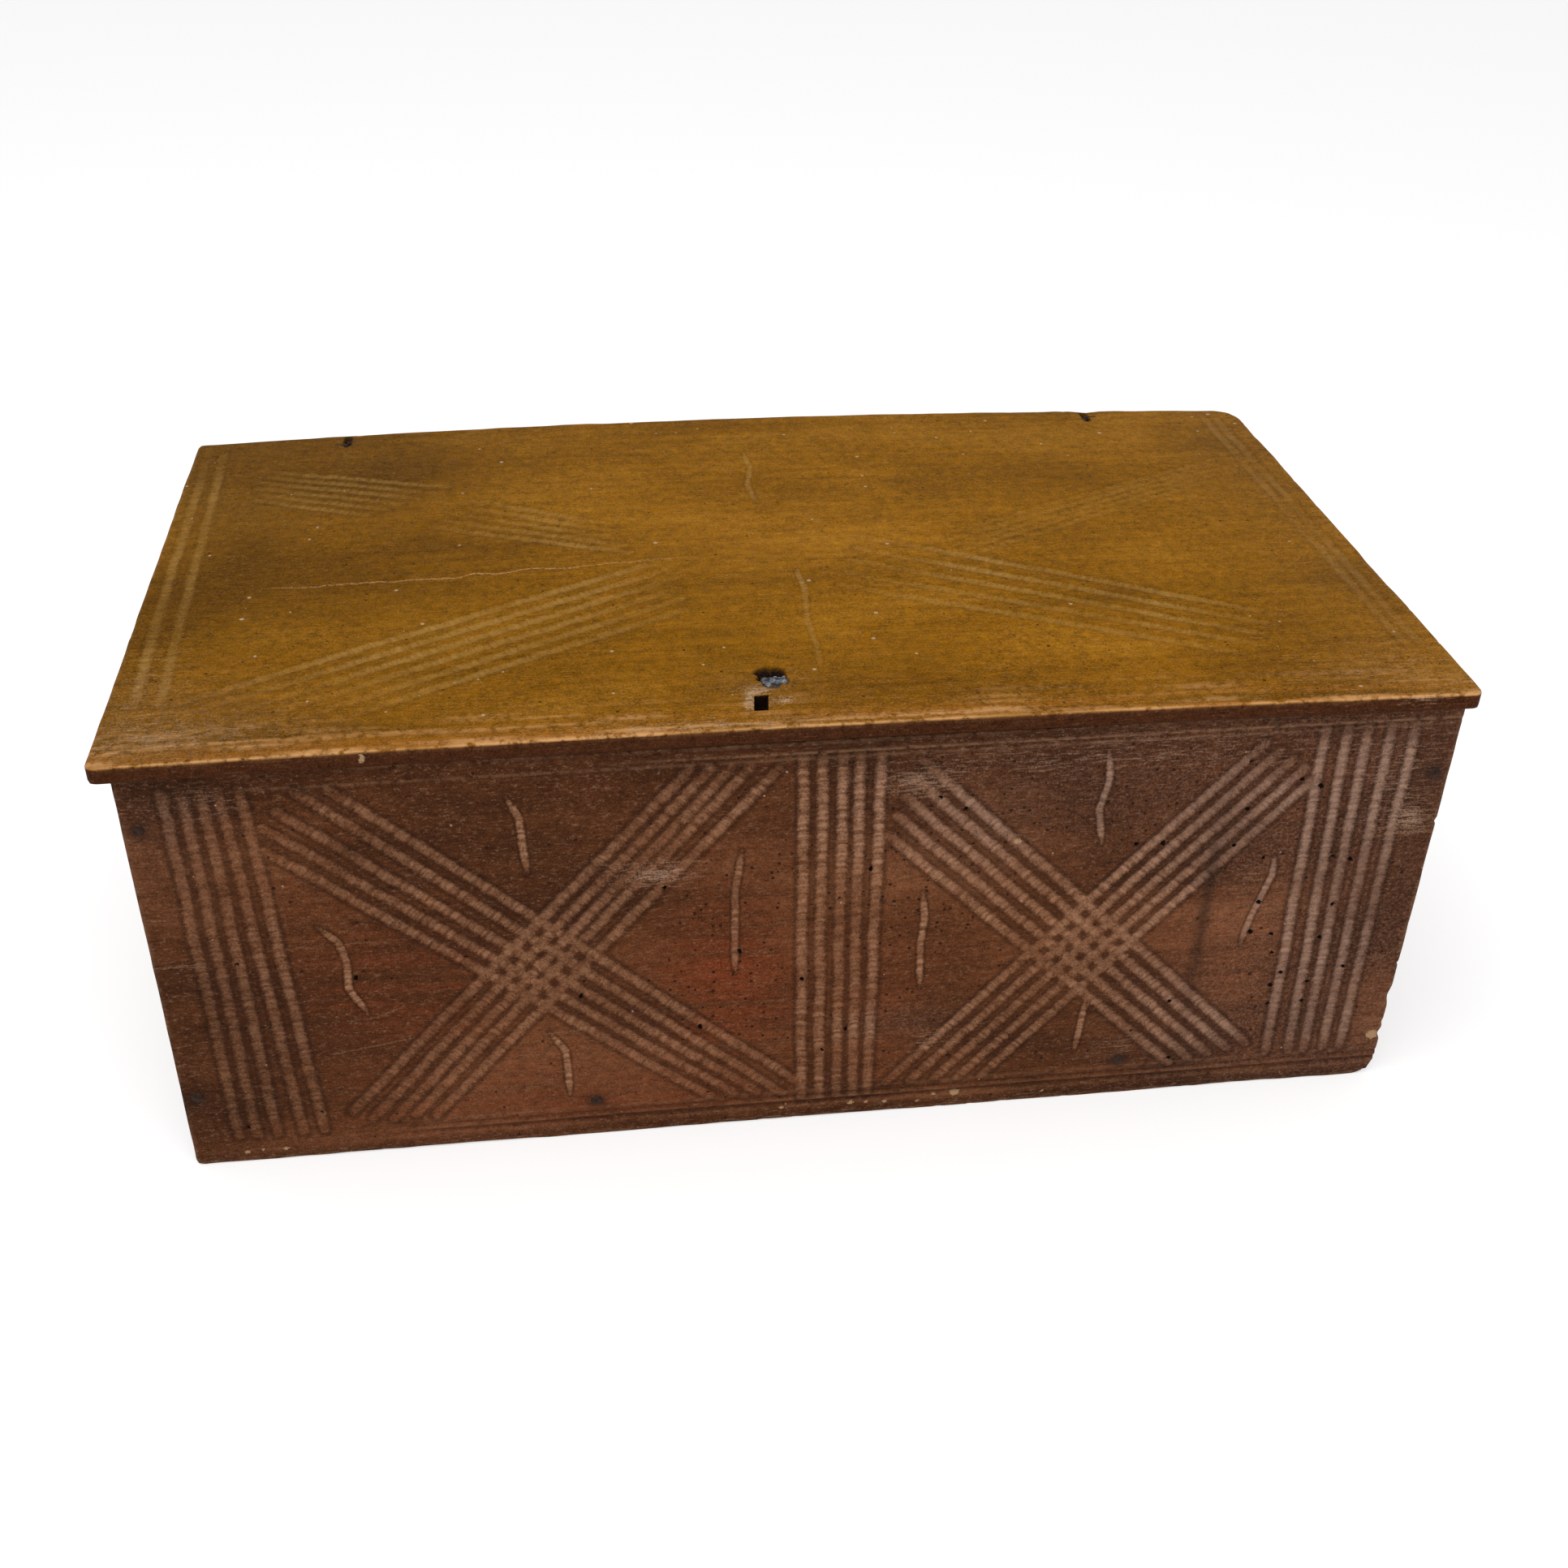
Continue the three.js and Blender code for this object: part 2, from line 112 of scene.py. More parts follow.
def patches(u: Array, v: Array, rows: tuple[tuple[float, ...], ...],
            unit: tuple[float, float] = (1.0, 1.0)) -> Array:
    """Sum of soft round patches.

    Args:
        u: First length of each point.
        v: Second length of each point.
        rows: A gain, the two places of the centre and the two sizes of each patch.
        unit: The lengths that the places of the centres are given in.

    Returns:
        The sum of gain times spot at each point.
    """
    return sum(gain * spot(u, v, (x * unit[0], y * unit[1]), (a, b))
               for gain, x, y, a, b in rows)


def stripe(v: Array, at: float, half: float) -> Array:
    """Soft line along a board: 1 - ((v - at) / half)^2, and 0 beyond half."""
    return np.clip(1 - ((v - at) / half) ** 2, 0, 1)


@dataclass(frozen=True)
class Zone:
    """A stretch of a board's length or width where the lattice lines stand closer."""

    low: float
    high: float
    gap: float


def graded_lines(length: float, pitch: float, edge: float, zones: list[Zone],
                 fixed: list[float]) -> Array:
    """Lattice lines from 0 to length, closer at both ends and in the zones.

    The wanted gap grows from `edge` at an end to `pitch`. Its inverse is summed along the
    length, and the lines stand where that sum passes evenly spaced values.

    Args:
        length: Distance that the lines cover.
        pitch: Widest gap.
        edge: Gap at either end.
        zones: Stretches with closer lines.
        fixed: Places where a line has to stand.

    Returns:
        The places of the lines, rising.
    """
    samples, end_growth, zone_growth = 20001, 0.45, 0.3
    x = np.linspace(0, length, samples)
    gap = np.minimum(pitch, edge + end_growth * np.minimum(x, length - x))
    for zone in zones:
        away = np.maximum(np.maximum(zone.low - x, x - zone.high), 0)
        gap = np.minimum(gap, zone.gap + zone_growth * away)
    lines_per_mm = 1 / gap
    steps = (lines_per_mm[1:] + lines_per_mm[:-1]) / 2 * np.diff(x)
    passed = np.concatenate([[0], np.cumsum(steps)])
    lines = np.interp(np.linspace(0, passed[-1], math.ceil(passed[-1]) + 1), passed, x)
    for place in fixed:
        lines[np.abs(lines - place).argmin()] = place
    return lines


@dataclass
class Shell:
    """A closed board over a lattice: seen face of quads, edges in rows, plain face in strips."""

    u: Array
    v: Array
    w: Array
    row: Array
    corners: Array
    counts: Array
    plain_faces: int


def board_shell(us: Array, vs: Array, ws: Array, keep: Array) -> Shell:
    """Welds the closed surface of a board out of its lattice.

    Every kept cell gives a quad at depth 0. Every lattice edge between a kept and a
    removed cell gives a wall of quads through the depths. Each column of kept cells gives
    one strip on the plain face, whose sides run through the wall points on its lines.

    Args:
        us: Lines along the length.
        vs: Lines across the width.
        ws: Depths of the rows, the first 0.
        keep: True for the cells that are wood, one row per gap in us.

    Returns:
        The points' lattice places and the polygons.
    """
    n, m, rows = len(us), len(vs), len(ws)
    cells = np.zeros((n + 1, m + 1), bool)
    cells[1:-1, 1:-1] = keep
    around = (cells[:-1, :-1].astype(int) + cells[1:, :-1] + cells[:-1, 1:] + cells[1:, 1:])
    rim = (around > 0) & (around < 4)
    exists = np.repeat(rim[:, :, None], rows, axis=2)
    exists[:, :, 0] = around > 0
    index = np.full((n, m, rows), -1)
    index[exists] = np.arange(exists.sum())
    i, j, k = np.nonzero(exists)

    ci, cj = np.nonzero(keep)
    quads = [np.stack([index[ci, cj, 0], index[ci + 1, cj, 0],
                       index[ci + 1, cj + 1, 0], index[ci, cj + 1, 0]], 1)]

    def wall(i0: Array, j0: Array, i1: Array, j1: Array) -> None:
        """Adds the walls whose top edges run from (i0, j0) to (i1, j1)."""
        for r in range(rows - 1):
            quads.append(np.stack([index[i0, j0, r], index[i1, j1, r],
                                   index[i1, j1, r + 1], index[i0, j0, r + 1]], 1))

    above, below = cells[1:-1, 1:], cells[1:-1, :-1]
    a, b = np.nonzero(above & ~below)
    wall(a + 1, b, a, b)
    a, b = np.nonzero(below & ~above)
    wall(a, b, a + 1, b)
    right, left = cells[1:, 1:-1], cells[:-1, 1:-1]
    a, b = np.nonzero(left & ~right)
    wall(a, b + 1, a, b)
    a, b = np.nonzero(right & ~left)
    wall(a, b, a, b + 1)
    quad_corners = np.concatenate(quads)

    strips = []
    for column in range(n - 1):
        ends = np.flatnonzero(np.diff(np.concatenate([[0], keep[column].astype(int), [0]])))
        for start, stop in ends.reshape(-1, 2):
            span = np.arange(start, stop + 1)
            near = span[rim[column, span]]
            far = span[rim[column + 1, span]][::-1]
            strips.append(np.concatenate([index[column, near, -1], index[column + 1, far, -1]]))
    counts = np.concatenate([np.full(len(quad_corners), 4), [len(s) for s in strips]])
    corners = np.concatenate([quad_corners.ravel(), *strips])
    return Shell(us[i], vs[j], ws[k], k, corners, counts.astype(int), len(strips))


def outward(points: Array, corners: Array, counts: Array) -> Array:
    """Turns the polygons of a closed surface so that they face outwards.

    The signed volume is the sum over each polygon's fan of first . (this x next) / 6; if
    it is negative, every polygon's corners are taken in reverse.

    Args:
        points: Corner places, one row each.
        corners: Polygon corner indices, one polygon after another.
        counts: Number of corners of each polygon.

    Returns:
        The corner indices in outward order.
    """
    starts = np.concatenate([[0], np.cumsum(counts)[:-1]])
    start_of = np.repeat(starts, counts)
    place = np.arange(len(corners)) - start_of
    count_of = np.repeat(counts, counts)
    following = corners[start_of + (place + 1) % count_of]
    first = points[corners[start_of]]
    volume = np.einsum("ij,ij->", first, np.cross(points[corners], points[following]))
    if volume >= 0:
        return corners
    return corners[start_of + count_of - 1 - place]


def write_mesh(name: str, points: Array, corners: Array, counts: Array,
               marks: dict[str, Array], crease: float, flat_faces: int = 0) -> bpy.types.Object:
    """Makes an object at the origin from points in millimetres in the part's frame.

    Args:
        name: Name of the piece.
        points: Corner places, one row each.
        corners: Polygon corner indices, one polygon after another.
        counts: Number of corners of each polygon.
        marks: Values for the finish, one number or one row of three for each point.
        crease: Angle in degrees above which an edge stays sharp.
        flat_faces: How many of the last polygons are shaded flat.

    Returns:
        The new object, linked into the scene.
    """
    corners = outward(points, corners, counts)
    mesh = bpy.data.meshes.new(name)
    mesh.vertices.add(len(points))
    mesh.vertices.foreach_set("co", (points * METRE).astype(np.float32).ravel())
    mesh.loops.add(len(corners))
    mesh.loops.foreach_set("vertex_index", corners.astype(np.int32))
    mesh.polygons.add(len(counts))
    starts = np.concatenate([[0], np.cumsum(counts)[:-1]])
    mesh.polygons.foreach_set("loop_start", starts.astype(np.int32))
    smooth = np.ones(len(counts), bool)
    if flat_faces:
        smooth[-flat_faces:] = False
    mesh.polygons.foreach_set("use_smooth", smooth)
    for mark, values in marks.items():
        kind, key = ("FLOAT", "value") if values.ndim == 1 else ("FLOAT_VECTOR", "vector")
        layer = mesh.attributes.new(mark, kind, "POINT")
        layer.data.foreach_set(key, np.asarray(values, np.float32).ravel())
    mesh.update(calc_edges=True)
    mesh.validate()
    mesh.set_sharp_from_angle(angle=math.radians(crease))
    obj = bpy.data.objects.new(name, mesh)
    bpy.context.collection.objects.link(obj)
    return obj


# Finishes


def tone(code: str) -> tuple[float, float, float, float]:
    """A colour written as rrggbb, as the shader's linear values.

    Args:
        code: The six digits.

    Returns:
        Red, green, blue and 1.
    """
    parts = [int(code[i:i + 2], 16) / 255 for i in (0, 2, 4)]
    linear = [p / 12.92 if p <= 0.04045 else ((p + 0.055) / 1.055) ** 2.4 for p in parts]
    return (*linear, 1.0)


class Sheet:
    """A node sheet, written from the texture towards the surface."""

    def __init__(self, owner: bpy.types.Material | bpy.types.World) -> None:
        """Starts an empty sheet for a material or for the surroundings.

        Args:
            owner: The material or the world.
        """
        owner.use_nodes = True
        self.owner = owner
        self.nodes, self.links = owner.node_tree.nodes, owner.node_tree.links
        self.nodes.clear()

    @cached_property
    def place(self) -> bpy.types.NodeSocket:
        """Object coordinates, whose node is added when they are first read."""
        return self.node("ShaderNodeTexCoord", {}).outputs["Object"]

    def node(self, kind: str, inputs: dict, **settings: object) -> bpy.types.Node:
        """Adds a node.

        Args:
            kind: Blender's name for the node's type.
            inputs: Values or sockets by input name or number.
            settings: The node's own properties.

        Returns:
            The new node.
        """
        made = self.nodes.new(kind)
        for key, value in settings.items():
            setattr(made, key, value)
        for key, value in inputs.items():
            if isinstance(value, bpy.types.NodeSocket):
                self.links.new(value, made.inputs[key])
            else:
                made.inputs[key].default_value = value
        return made

    def calc(self, operation: str, *values: object) -> bpy.types.NodeSocket:
        """One step of arithmetic on numbers or sockets."""
        inputs = dict(enumerate(values))
        return self.node("ShaderNodeMath", inputs, operation=operation).outputs[0]

    def times(self, first: object, *others: object) -> bpy.types.NodeSocket:
        """The product of numbers and sockets, taken in order."""
        for other in others:
            first = self.calc("MULTIPLY", first, other)
        return first

    def spread(self, per_mm: tuple[float, float, float],
               shift: float = 0.0) -> bpy.types.NodeSocket:
        """Object coordinates scaled to so many units per millimetre along each axis."""
        inputs = {"Vector": self.place, "Scale": [s / METRE for s in per_mm],
                  "Location": (shift, shift, shift)}
        return self.node("ShaderNodeMapping", inputs).outputs["Vector"]

    def noise(self, per_mm: tuple[float, float, float], detail: float = 3.0,
              rough: float = 0.5, shift: float = 0.0, warp: float = 0.0) -> bpy.types.NodeSocket:
        """Cloud noise from 0 to 1 with so many waves per millimetre along each axis."""
        inputs = {"Vector": self.spread(per_mm, shift), "Scale": 1.0, "Detail": detail,
                  "Roughness": rough, "Distortion": warp}
        return self.node("ShaderNodeTexNoise", inputs).outputs[0]

    def mark(self, name: str, output: str = "Fac") -> bpy.types.NodeSocket:
        """A value that the mesh carries."""
        return self.node("ShaderNodeAttribute", {}, attribute_name=name).outputs[output]

    def swing(self, base: object, *parts: tuple[bpy.types.NodeSocket, float]
              ) -> bpy.types.NodeSocket:
        """Base plus, for each part, its noise less a half times its gain.

        Args:
            base: The middle value.
            parts: Pairs of a noise and its gain.

        Returns:
            The sum.
        """
        total = base
        for noise, gain in parts:
            middle = -0.5 * gain
            total = self.calc("ADD", total, self.calc("MULTIPLY_ADD", noise, gain, middle))
        return total

    def step(self, value: bpy.types.NodeSocket, low: float, high: float,
             top: float = 1.0) -> bpy.types.NodeSocket:
        """Rises smoothly from 0 to top as the value goes from low to high.

        Args:
            value: The value that is read.
            low: Where the rise starts.
            high: Where it ends.
            top: The value reached there.

        Returns:
            The risen value.
        """
        flip = low > high
        inputs = {"Value": value, "From Min": min(low, high), "From Max": max(low, high),
                  "To Min": top if flip else 0.0, "To Max": 0.0 if flip else top}
        kind = "ShaderNodeMapRange"
        return self.node(kind, inputs, interpolation_type="SMOOTHSTEP").outputs["Result"]

    def mix(self, share: object, first: object, second: object,
            blend: str = "MIX") -> bpy.types.NodeSocket:
        """Two colours mixed by a share.

        Args:
            share: Share of the second colour.
            first: The first colour.
            second: The second colour.
            blend: How they are mixed.

        Returns:
            The mixed colour.
        """
        inputs = {0: share, 6: first, 7: second}
        made = self.node("ShaderNodeMix", inputs, data_type="RGBA", blend_type=blend)
        return made.outputs[2]

    def lay(self, colour: bpy.types.NodeSocket, share: object, code: str
            ) -> bpy.types.NodeSocket:
        """A colour with a tone laid over it by a share."""
        return self.mix(share, colour, tone(code))

    def ramp(self, share: bpy.types.NodeSocket, stops: list[tuple[float, str]]
             ) -> bpy.types.NodeSocket:
        """Colours read off a ramp with the given stops.

        Args:
            share: Place on the ramp.
            stops: Places and their tones.

        Returns:
            The colour.
        """
        made = self.node("ShaderNodeValToRGB", {"Fac": share})
        ramp = made.color_ramp
        for at, code in stops[2:]:
            ramp.elements.new(at)
        for element, (at, code) in zip(ramp.elements, stops):
            element.position = at
            element.color = tone(code)
        return made.outputs["Color"]

    def bump(self, height: bpy.types.NodeSocket, depth_mm: float,
             under: bpy.types.NodeSocket | None = None) -> bpy.types.NodeSocket:
        """Normals of a relief of that depth, laid over another relief if one is given.

        Args:
            height: The relief, 0 to 1.
            depth_mm: Its depth.
            under: Normals of the relief below.

        Returns:
            The normals.
        """
        inputs = {"Height": height, "Distance": depth_mm * METRE, "Strength": 1.0}
        if under is not None:
            inputs["Normal"] = under
        return self.node("ShaderNodeBump", inputs).outputs["Normal"]

    def finish(self, **inputs: object) -> bpy.types.Material:
        """Closes the sheet with a surface whose sockets are named with underscores.

        Args:
            inputs: Values of the surface's sockets.

        Returns:
            The material.
        """
        named = {key.replace("_", " "): value for key, value in inputs.items()}
        surface = self.node("ShaderNodeBsdfPrincipled", named)
        self.node("ShaderNodeOutputMaterial", {"Surface": surface.outputs[0]})
        return self.owner


class Grain(Enum):
    """The axis that a board's fibres run along."""

    ALONG_X = 0
    ALONG_Y = 1

    def stretch(self, along: float, across: float) -> tuple[float, float, float]:
        """Waves per millimetre on each axis for a pattern drawn out along the fibres.

        Args:
            along: Waves along the fibres.
            across: Waves across them.

        Returns:
            The waves on x, y and z.
        """
        scales = [across] * 3
        scales[self.value] = along
        return tuple(scales)


@dataclass(frozen=True)
class WaxedWood:
    """Old waxed wood: a mottled face, short pores, beetle specks, dry cuts and rubbed arrises.

    The mesh's marks say where: dim, warm, dry and side tint the face, and dim also lays
    painted shade and sheen; cut, run, pale and crack draw the carving; worn, scuff, chip,
    the iron stains' mark, pepper and hole the wear. The worn arrises also carry painted
    highlights, the iron stains painted shade in grooves and hollows, and the wormholes
    painted shade.
    """

    name: str
    grain: Grain
    tones: tuple[str, str, str, str]
    cut_tones: tuple[str, str]
    dark_tone: str
    arris_tone: str
    fleck_tone: str
    warm_tone: str
    dry_tone: str
    side_tone: str
    streak: float = 0.14
    # Share of painted shade in the dark rim just outside each cut.
    rim_shade: float = 0.5
    chatter: float = 0.55
    speckle: float = 0.72
    pores: float = 0.55
    flecks: float = 0.3
    roughness: float = 0.5
    gloss: float = 0.03
    dusty_tone: str = "9c8478"
    bare_tone: str = "b8946f"
    # Dark tone of the iron stains, also used for painted shade in grooves and hollows.
    stain_and_shade_tone: str = "1a1312"
    # Near black of the wormholes, painted as the shade in them.
    hole_shade_tone: str = "0c0705"

    def face(self, s: Sheet) -> dict[str, bpy.types.NodeSocket]:
        """Colours the bare face: clouds, streaks, tints, fibres, pores and specks.

        Args:
            s: The node sheet.

        Returns:
            The colour and the noises that the wear is broken up with.
        """
        stretch = self.grain.stretch
        cloud = s.noise(stretch(0.010, 0.018), 4.0, 0.55, 7.7)
        streak = s.noise(stretch(0.012, 0.28), 3.0, 0.5, 3.1, 0.3)
        fibre = s.noise(stretch(0.12, 1.3), 4.0, 0.65, 1.3, 0.2)
        mottle = s.noise((0.28,) * 3, 5.0, 0.65, 5.9)
        grit = s.noise((1.5,) * 3, 2.0, 0.6, 8.8)
        base = s.swing(cloud, (streak, self.streak))
        colour = s.ramp(base, list(zip((0.37, 0.46, 0.54, 0.63), self.tones)))
        warm = s.times(s.mark("warm"), s.step(streak, 0.3, 0.62))
        colour = s.lay(colour, warm, self.warm_tone)
        frost = s.noise((0.8,) * 3, 3.0, 0.7, 6.6)
        frosted = s.times(s.mark("dry"), s.step(frost, 0.44, 0.62))
        colour = s.lay(colour, frosted, self.dry_tone)
        colour = s.lay(colour, s.mark("side"), self.side_tone)
        shade = s.swing(1.0, (fibre, 0.8), (grit, 1.9), (mottle, 1.3), (streak, 0.25))
        shade = s.times(shade, s.calc("MULTIPLY_ADD", s.mark("dim"), -0.45, 1.0))
        colour = s.mix(1.0, colour, shade, "MULTIPLY")
        pore = s.noise(stretch(0.22, 2.0), 2.0, 0.5, 8.4)
        colour = s.lay(colour, s.step(pore, 0.38, 0.27, self.pores), self.dark_tone)
        speckle = s.noise(stretch(0.6, 1.2), 4.0, 0.75, 2.9)
        light = s.times(s.step(speckle, 0.53, 0.72, self.speckle), self.off_sides(s))
        colour = s.lay(colour, light, self.arris_tone)
        colour = s.lay(colour, s.step(speckle, 0.45, 0.28, self.speckle), self.dark_tone)
        away, chance, size = self.cells(s, 0.45, 4.0)
        near = s.calc("LESS_THAN", away, s.calc("MULTIPLY_ADD", size, 0.17, 0.12))
        bound = s.calc("MULTIPLY_ADD", s.mark("pepper"), 0.6, 0.05)
        speck = s.times(near, s.calc("LESS_THAN", chance, bound), 0.85)
        colour = s.lay(colour, speck, self.dark_tone)
        return {"colour": colour, "streak": streak, "fibre": fibre, "mottle": mottle,
                "grit": grit}

    def off_sides(self, s: Sheet) -> bpy.types.NodeSocket:
        """One less the share of side tone."""
        return s.calc("SUBTRACT", 1.0, s.mark("side"))

    def cells(self, s: Sheet, per_mm: float, shift: float) -> tuple[bpy.types.NodeSocket, ...]:
        """Scattered points: the distance to the nearest and two random numbers of its own.

        Args:
            s: The node sheet.
            per_mm: Points per millimetre.
            shift: Start of the pattern.

        Returns:
            The distance and both numbers.
        """
        cell = s.node("ShaderNodeTexVoronoi", {"Vector": s.spread((per_mm,) * 3, shift),
                                               "Scale": 1.0, "Randomness": 1.0})
        parts = s.node("ShaderNodeSeparateColor", {0: cell.outputs["Color"]})
        return cell.outputs["Distance"], parts.outputs[0], parts.outputs[1]

    def carve(self, s: Sheet, face: dict[str, bpy.types.NodeSocket]
              ) -> tuple[bpy.types.NodeSocket, ...]:
        """Lays the dry tone of the cuts and the pale crack over the face.

        Args:
            s: The node sheet.
            face: The colour and noises of the bare face.

        Returns:
            The colour and the share of dry cut.
        """
        mottle, grit = face["mottle"], face["grit"]
        cut = s.mark("cut")
        along = s.times(s.mark("run"), self.chatter)
        chatter = s.node("ShaderNodeTexNoise", {"W": along, "Scale": 1.0, "Detail": 2.0},
                         noise_dimensions="1D").outputs[0]
        rubbed = s.swing(cut, (mottle, 1.7), (grit, 0.8), (chatter, 0.25))
        inside = s.step(rubbed, CUT_EDGE - 0.85, CUT_EDGE + 1.45)
        # Painted shade: a dark rim just outside each cut, along its edges.
        rim_shade = s.times(s.step(cut, CUT_EDGE - 2.4, CUT_EDGE - 0.6, self.rim_shade),
                        s.step(rubbed, CUT_EDGE + 0.7, CUT_EDGE - 0.3))
        colour = s.lay(face["colour"], rim_shade, self.dark_tone)
        lit = s.step(s.swing(chatter, (grit, 0.5), (mottle, 1.1)), 0.1, 0.95)
        cut_tone = s.mix(lit, *(tone(code) for code in self.cut_tones))
        cut_tone = s.lay(cut_tone, s.mark("dry"), self.dusty_tone)
        broken = s.calc("ADD", s.step(chatter, 0.25, 0.65, 0.25), 0.75)
        share = s.times(inside, s.mark("pale"), broken, s.step(grit, 0.0, 0.55))
        colour = s.mix(share, colour, cut_tone)
        crack = s.calc("ABSOLUTE", s.swing(s.mark("crack"), (mottle, 1.6)))
        crack = s.times(s.step(crack, 0.55, 0.1), s.mark("crack_share"),
                        s.step(grit, 0.3, 0.65, 0.75))
        return s.lay(colour, crack, self.arris_tone), share

    def wear(self, s: Sheet, face: dict[str, bpy.types.NodeSocket],
             colour: bpy.types.NodeSocket) -> bpy.types.NodeSocket:
        """Lays worn arrises, scuffs, flecks, chips, iron stains and wormholes over a colour,
        with painted highlights among the worn arrises, painted shade among the iron stains,
        and the wormholes painted dark as painted shade.

        Args:
            s: The node sheet.
            face: The noises of the bare face.
            colour: The colour of the carved face.

        Returns:
            The colour.
        """
        grit, scuffed = face["grit"], s.mark("scuff")
        # Worn arris tone, which also lays the painted highlights on the lid's front arris and on
        # the front's moulding.
        worn = s.times(s.mark("worn"), s.step(face["mottle"], 0.34, 0.56))
        colour = s.lay(colour, worn, self.arris_tone)
        scratch = s.noise(self.grain.stretch(0.2, 1.9), 3.0, 0.6, 9.2)
        strong = s.step(scuffed, 0.65, 1.0, 0.22)
        lifted = s.calc("MULTIPLY_ADD", scuffed, 0.2, scratch)
        lifted = s.calc("MULTIPLY_ADD", strong, 0.4, lifted)
        lifted = s.swing(lifted, (grit, 0.5), (face["fibre"], 0.5))
        scuff = s.times(s.step(lifted, 0.6, 0.95), s.step(scuffed, 0.0, 0.6),
                        s.calc("ADD", strong, 0.5))
        colour = s.lay(colour, scuff, self.fleck_tone)
        away, chance, size = self.cells(s, 0.11, 2.0)
        near = s.calc("LESS_THAN", away, s.calc("MULTIPLY_ADD", size, 0.075, 0.02))
        fleck = s.times(near, s.calc("LESS_THAN", chance, self.flecks), self.off_sides(s), 0.75)
        colour = s.lay(colour, fleck, self.fleck_tone)
        chip = s.step(s.swing(s.mark("chip"), (grit, 1.3)), 0.45, 0.7, 0.8)
        colour = s.lay(colour, chip, self.bare_tone)
        # Iron stains and painted shade in one dark tone: shade in the front's bottom grooves and in
        # the lid's pit, hinge holes and slot walls.
        stain_and_shade = s.times(s.mark("stain_and_shade"), s.step(grit, 0.1, 0.5))
        colour = s.lay(colour, stain_and_shade, self.stain_and_shade_tone)
        # Wormholes painted near black: painted shade in the holes.
        off = s.node("ShaderNodeVectorMath", {0: s.mark("hole", "Vector")}, operation="LENGTH")
        hole = s.step(s.swing(off.outputs["Value"], (grit, 0.9)), 0.95, 0.6)
        return s.lay(colour, s.times(hole, s.mark("bored")), self.hole_shade_tone)

    def make(self) -> bpy.types.Material:
        """Writes the material.

        Returns:
            The material.
        """
        s = Sheet(bpy.data.materials.new(self.name))
        face = self.face(s)
        colour, dry_share = self.carve(s, face)
        colour = self.wear(s, face, colour)
        rough = s.swing(self.roughness, (face["grit"], 0.3))
        rough = s.calc("MULTIPLY_ADD", dry_share, 0.14, rough)
        relief = s.bump(face["grit"], 0.12, s.bump(face["fibre"], 0.1))
        return s.finish(Base_Color=colour, Roughness=rough, Normal=relief,
                        Specular_IOR_Level=self.gloss)


@dataclass(frozen=True)
class ForgedIron:
    """Hammered iron with patches of rust."""

    name: str = "forged_iron"
    dark: str = "1c120e"
    bright: str = "382922"
    rust: str = "3b2518"
    rust_from: float = 0.46
    metal: float = 0.2
    gloss: float = 0.08
    roughness: float = 0.5

    def make(self) -> bpy.types.Material:
        """Writes the material.

        Returns:
            The material.
        """
        s = Sheet(bpy.data.materials.new(self.name))
        dents = s.noise((0.5,) * 3, 3.0, 0.5, 2.2)
        scale = s.noise((1.6,) * 3, 5.0, 0.6, 4.8)
        colour = s.mix(s.step(dents, 0.35, 0.65), tone(self.dark), tone(self.bright))
        rust = s.step(scale, self.rust_from, self.rust_from + 0.14, 0.85)
        colour = s.lay(colour, rust, self.rust)
        rough = s.swing(self.roughness, (scale, 0.5))
        relief = s.bump(scale, 0.15, s.bump(dents, 0.4))
        return s.finish(Base_Color=colour, Metallic=self.metal, Roughness=rough, Normal=relief,
                        Specular_IOR_Level=self.gloss)


# Boards


class Lie(Enum):
    """How a board lies: the axes of u, v and w, and the way that w runs."""

    FRONT = (0, 2, 1, 1)
    BACK = (0, 2, 1, -1)
    LEFT = (1, 2, 0, 1)
    RIGHT = (1, 2, 0, -1)
    FLAT = (0, 1, 2, -1)


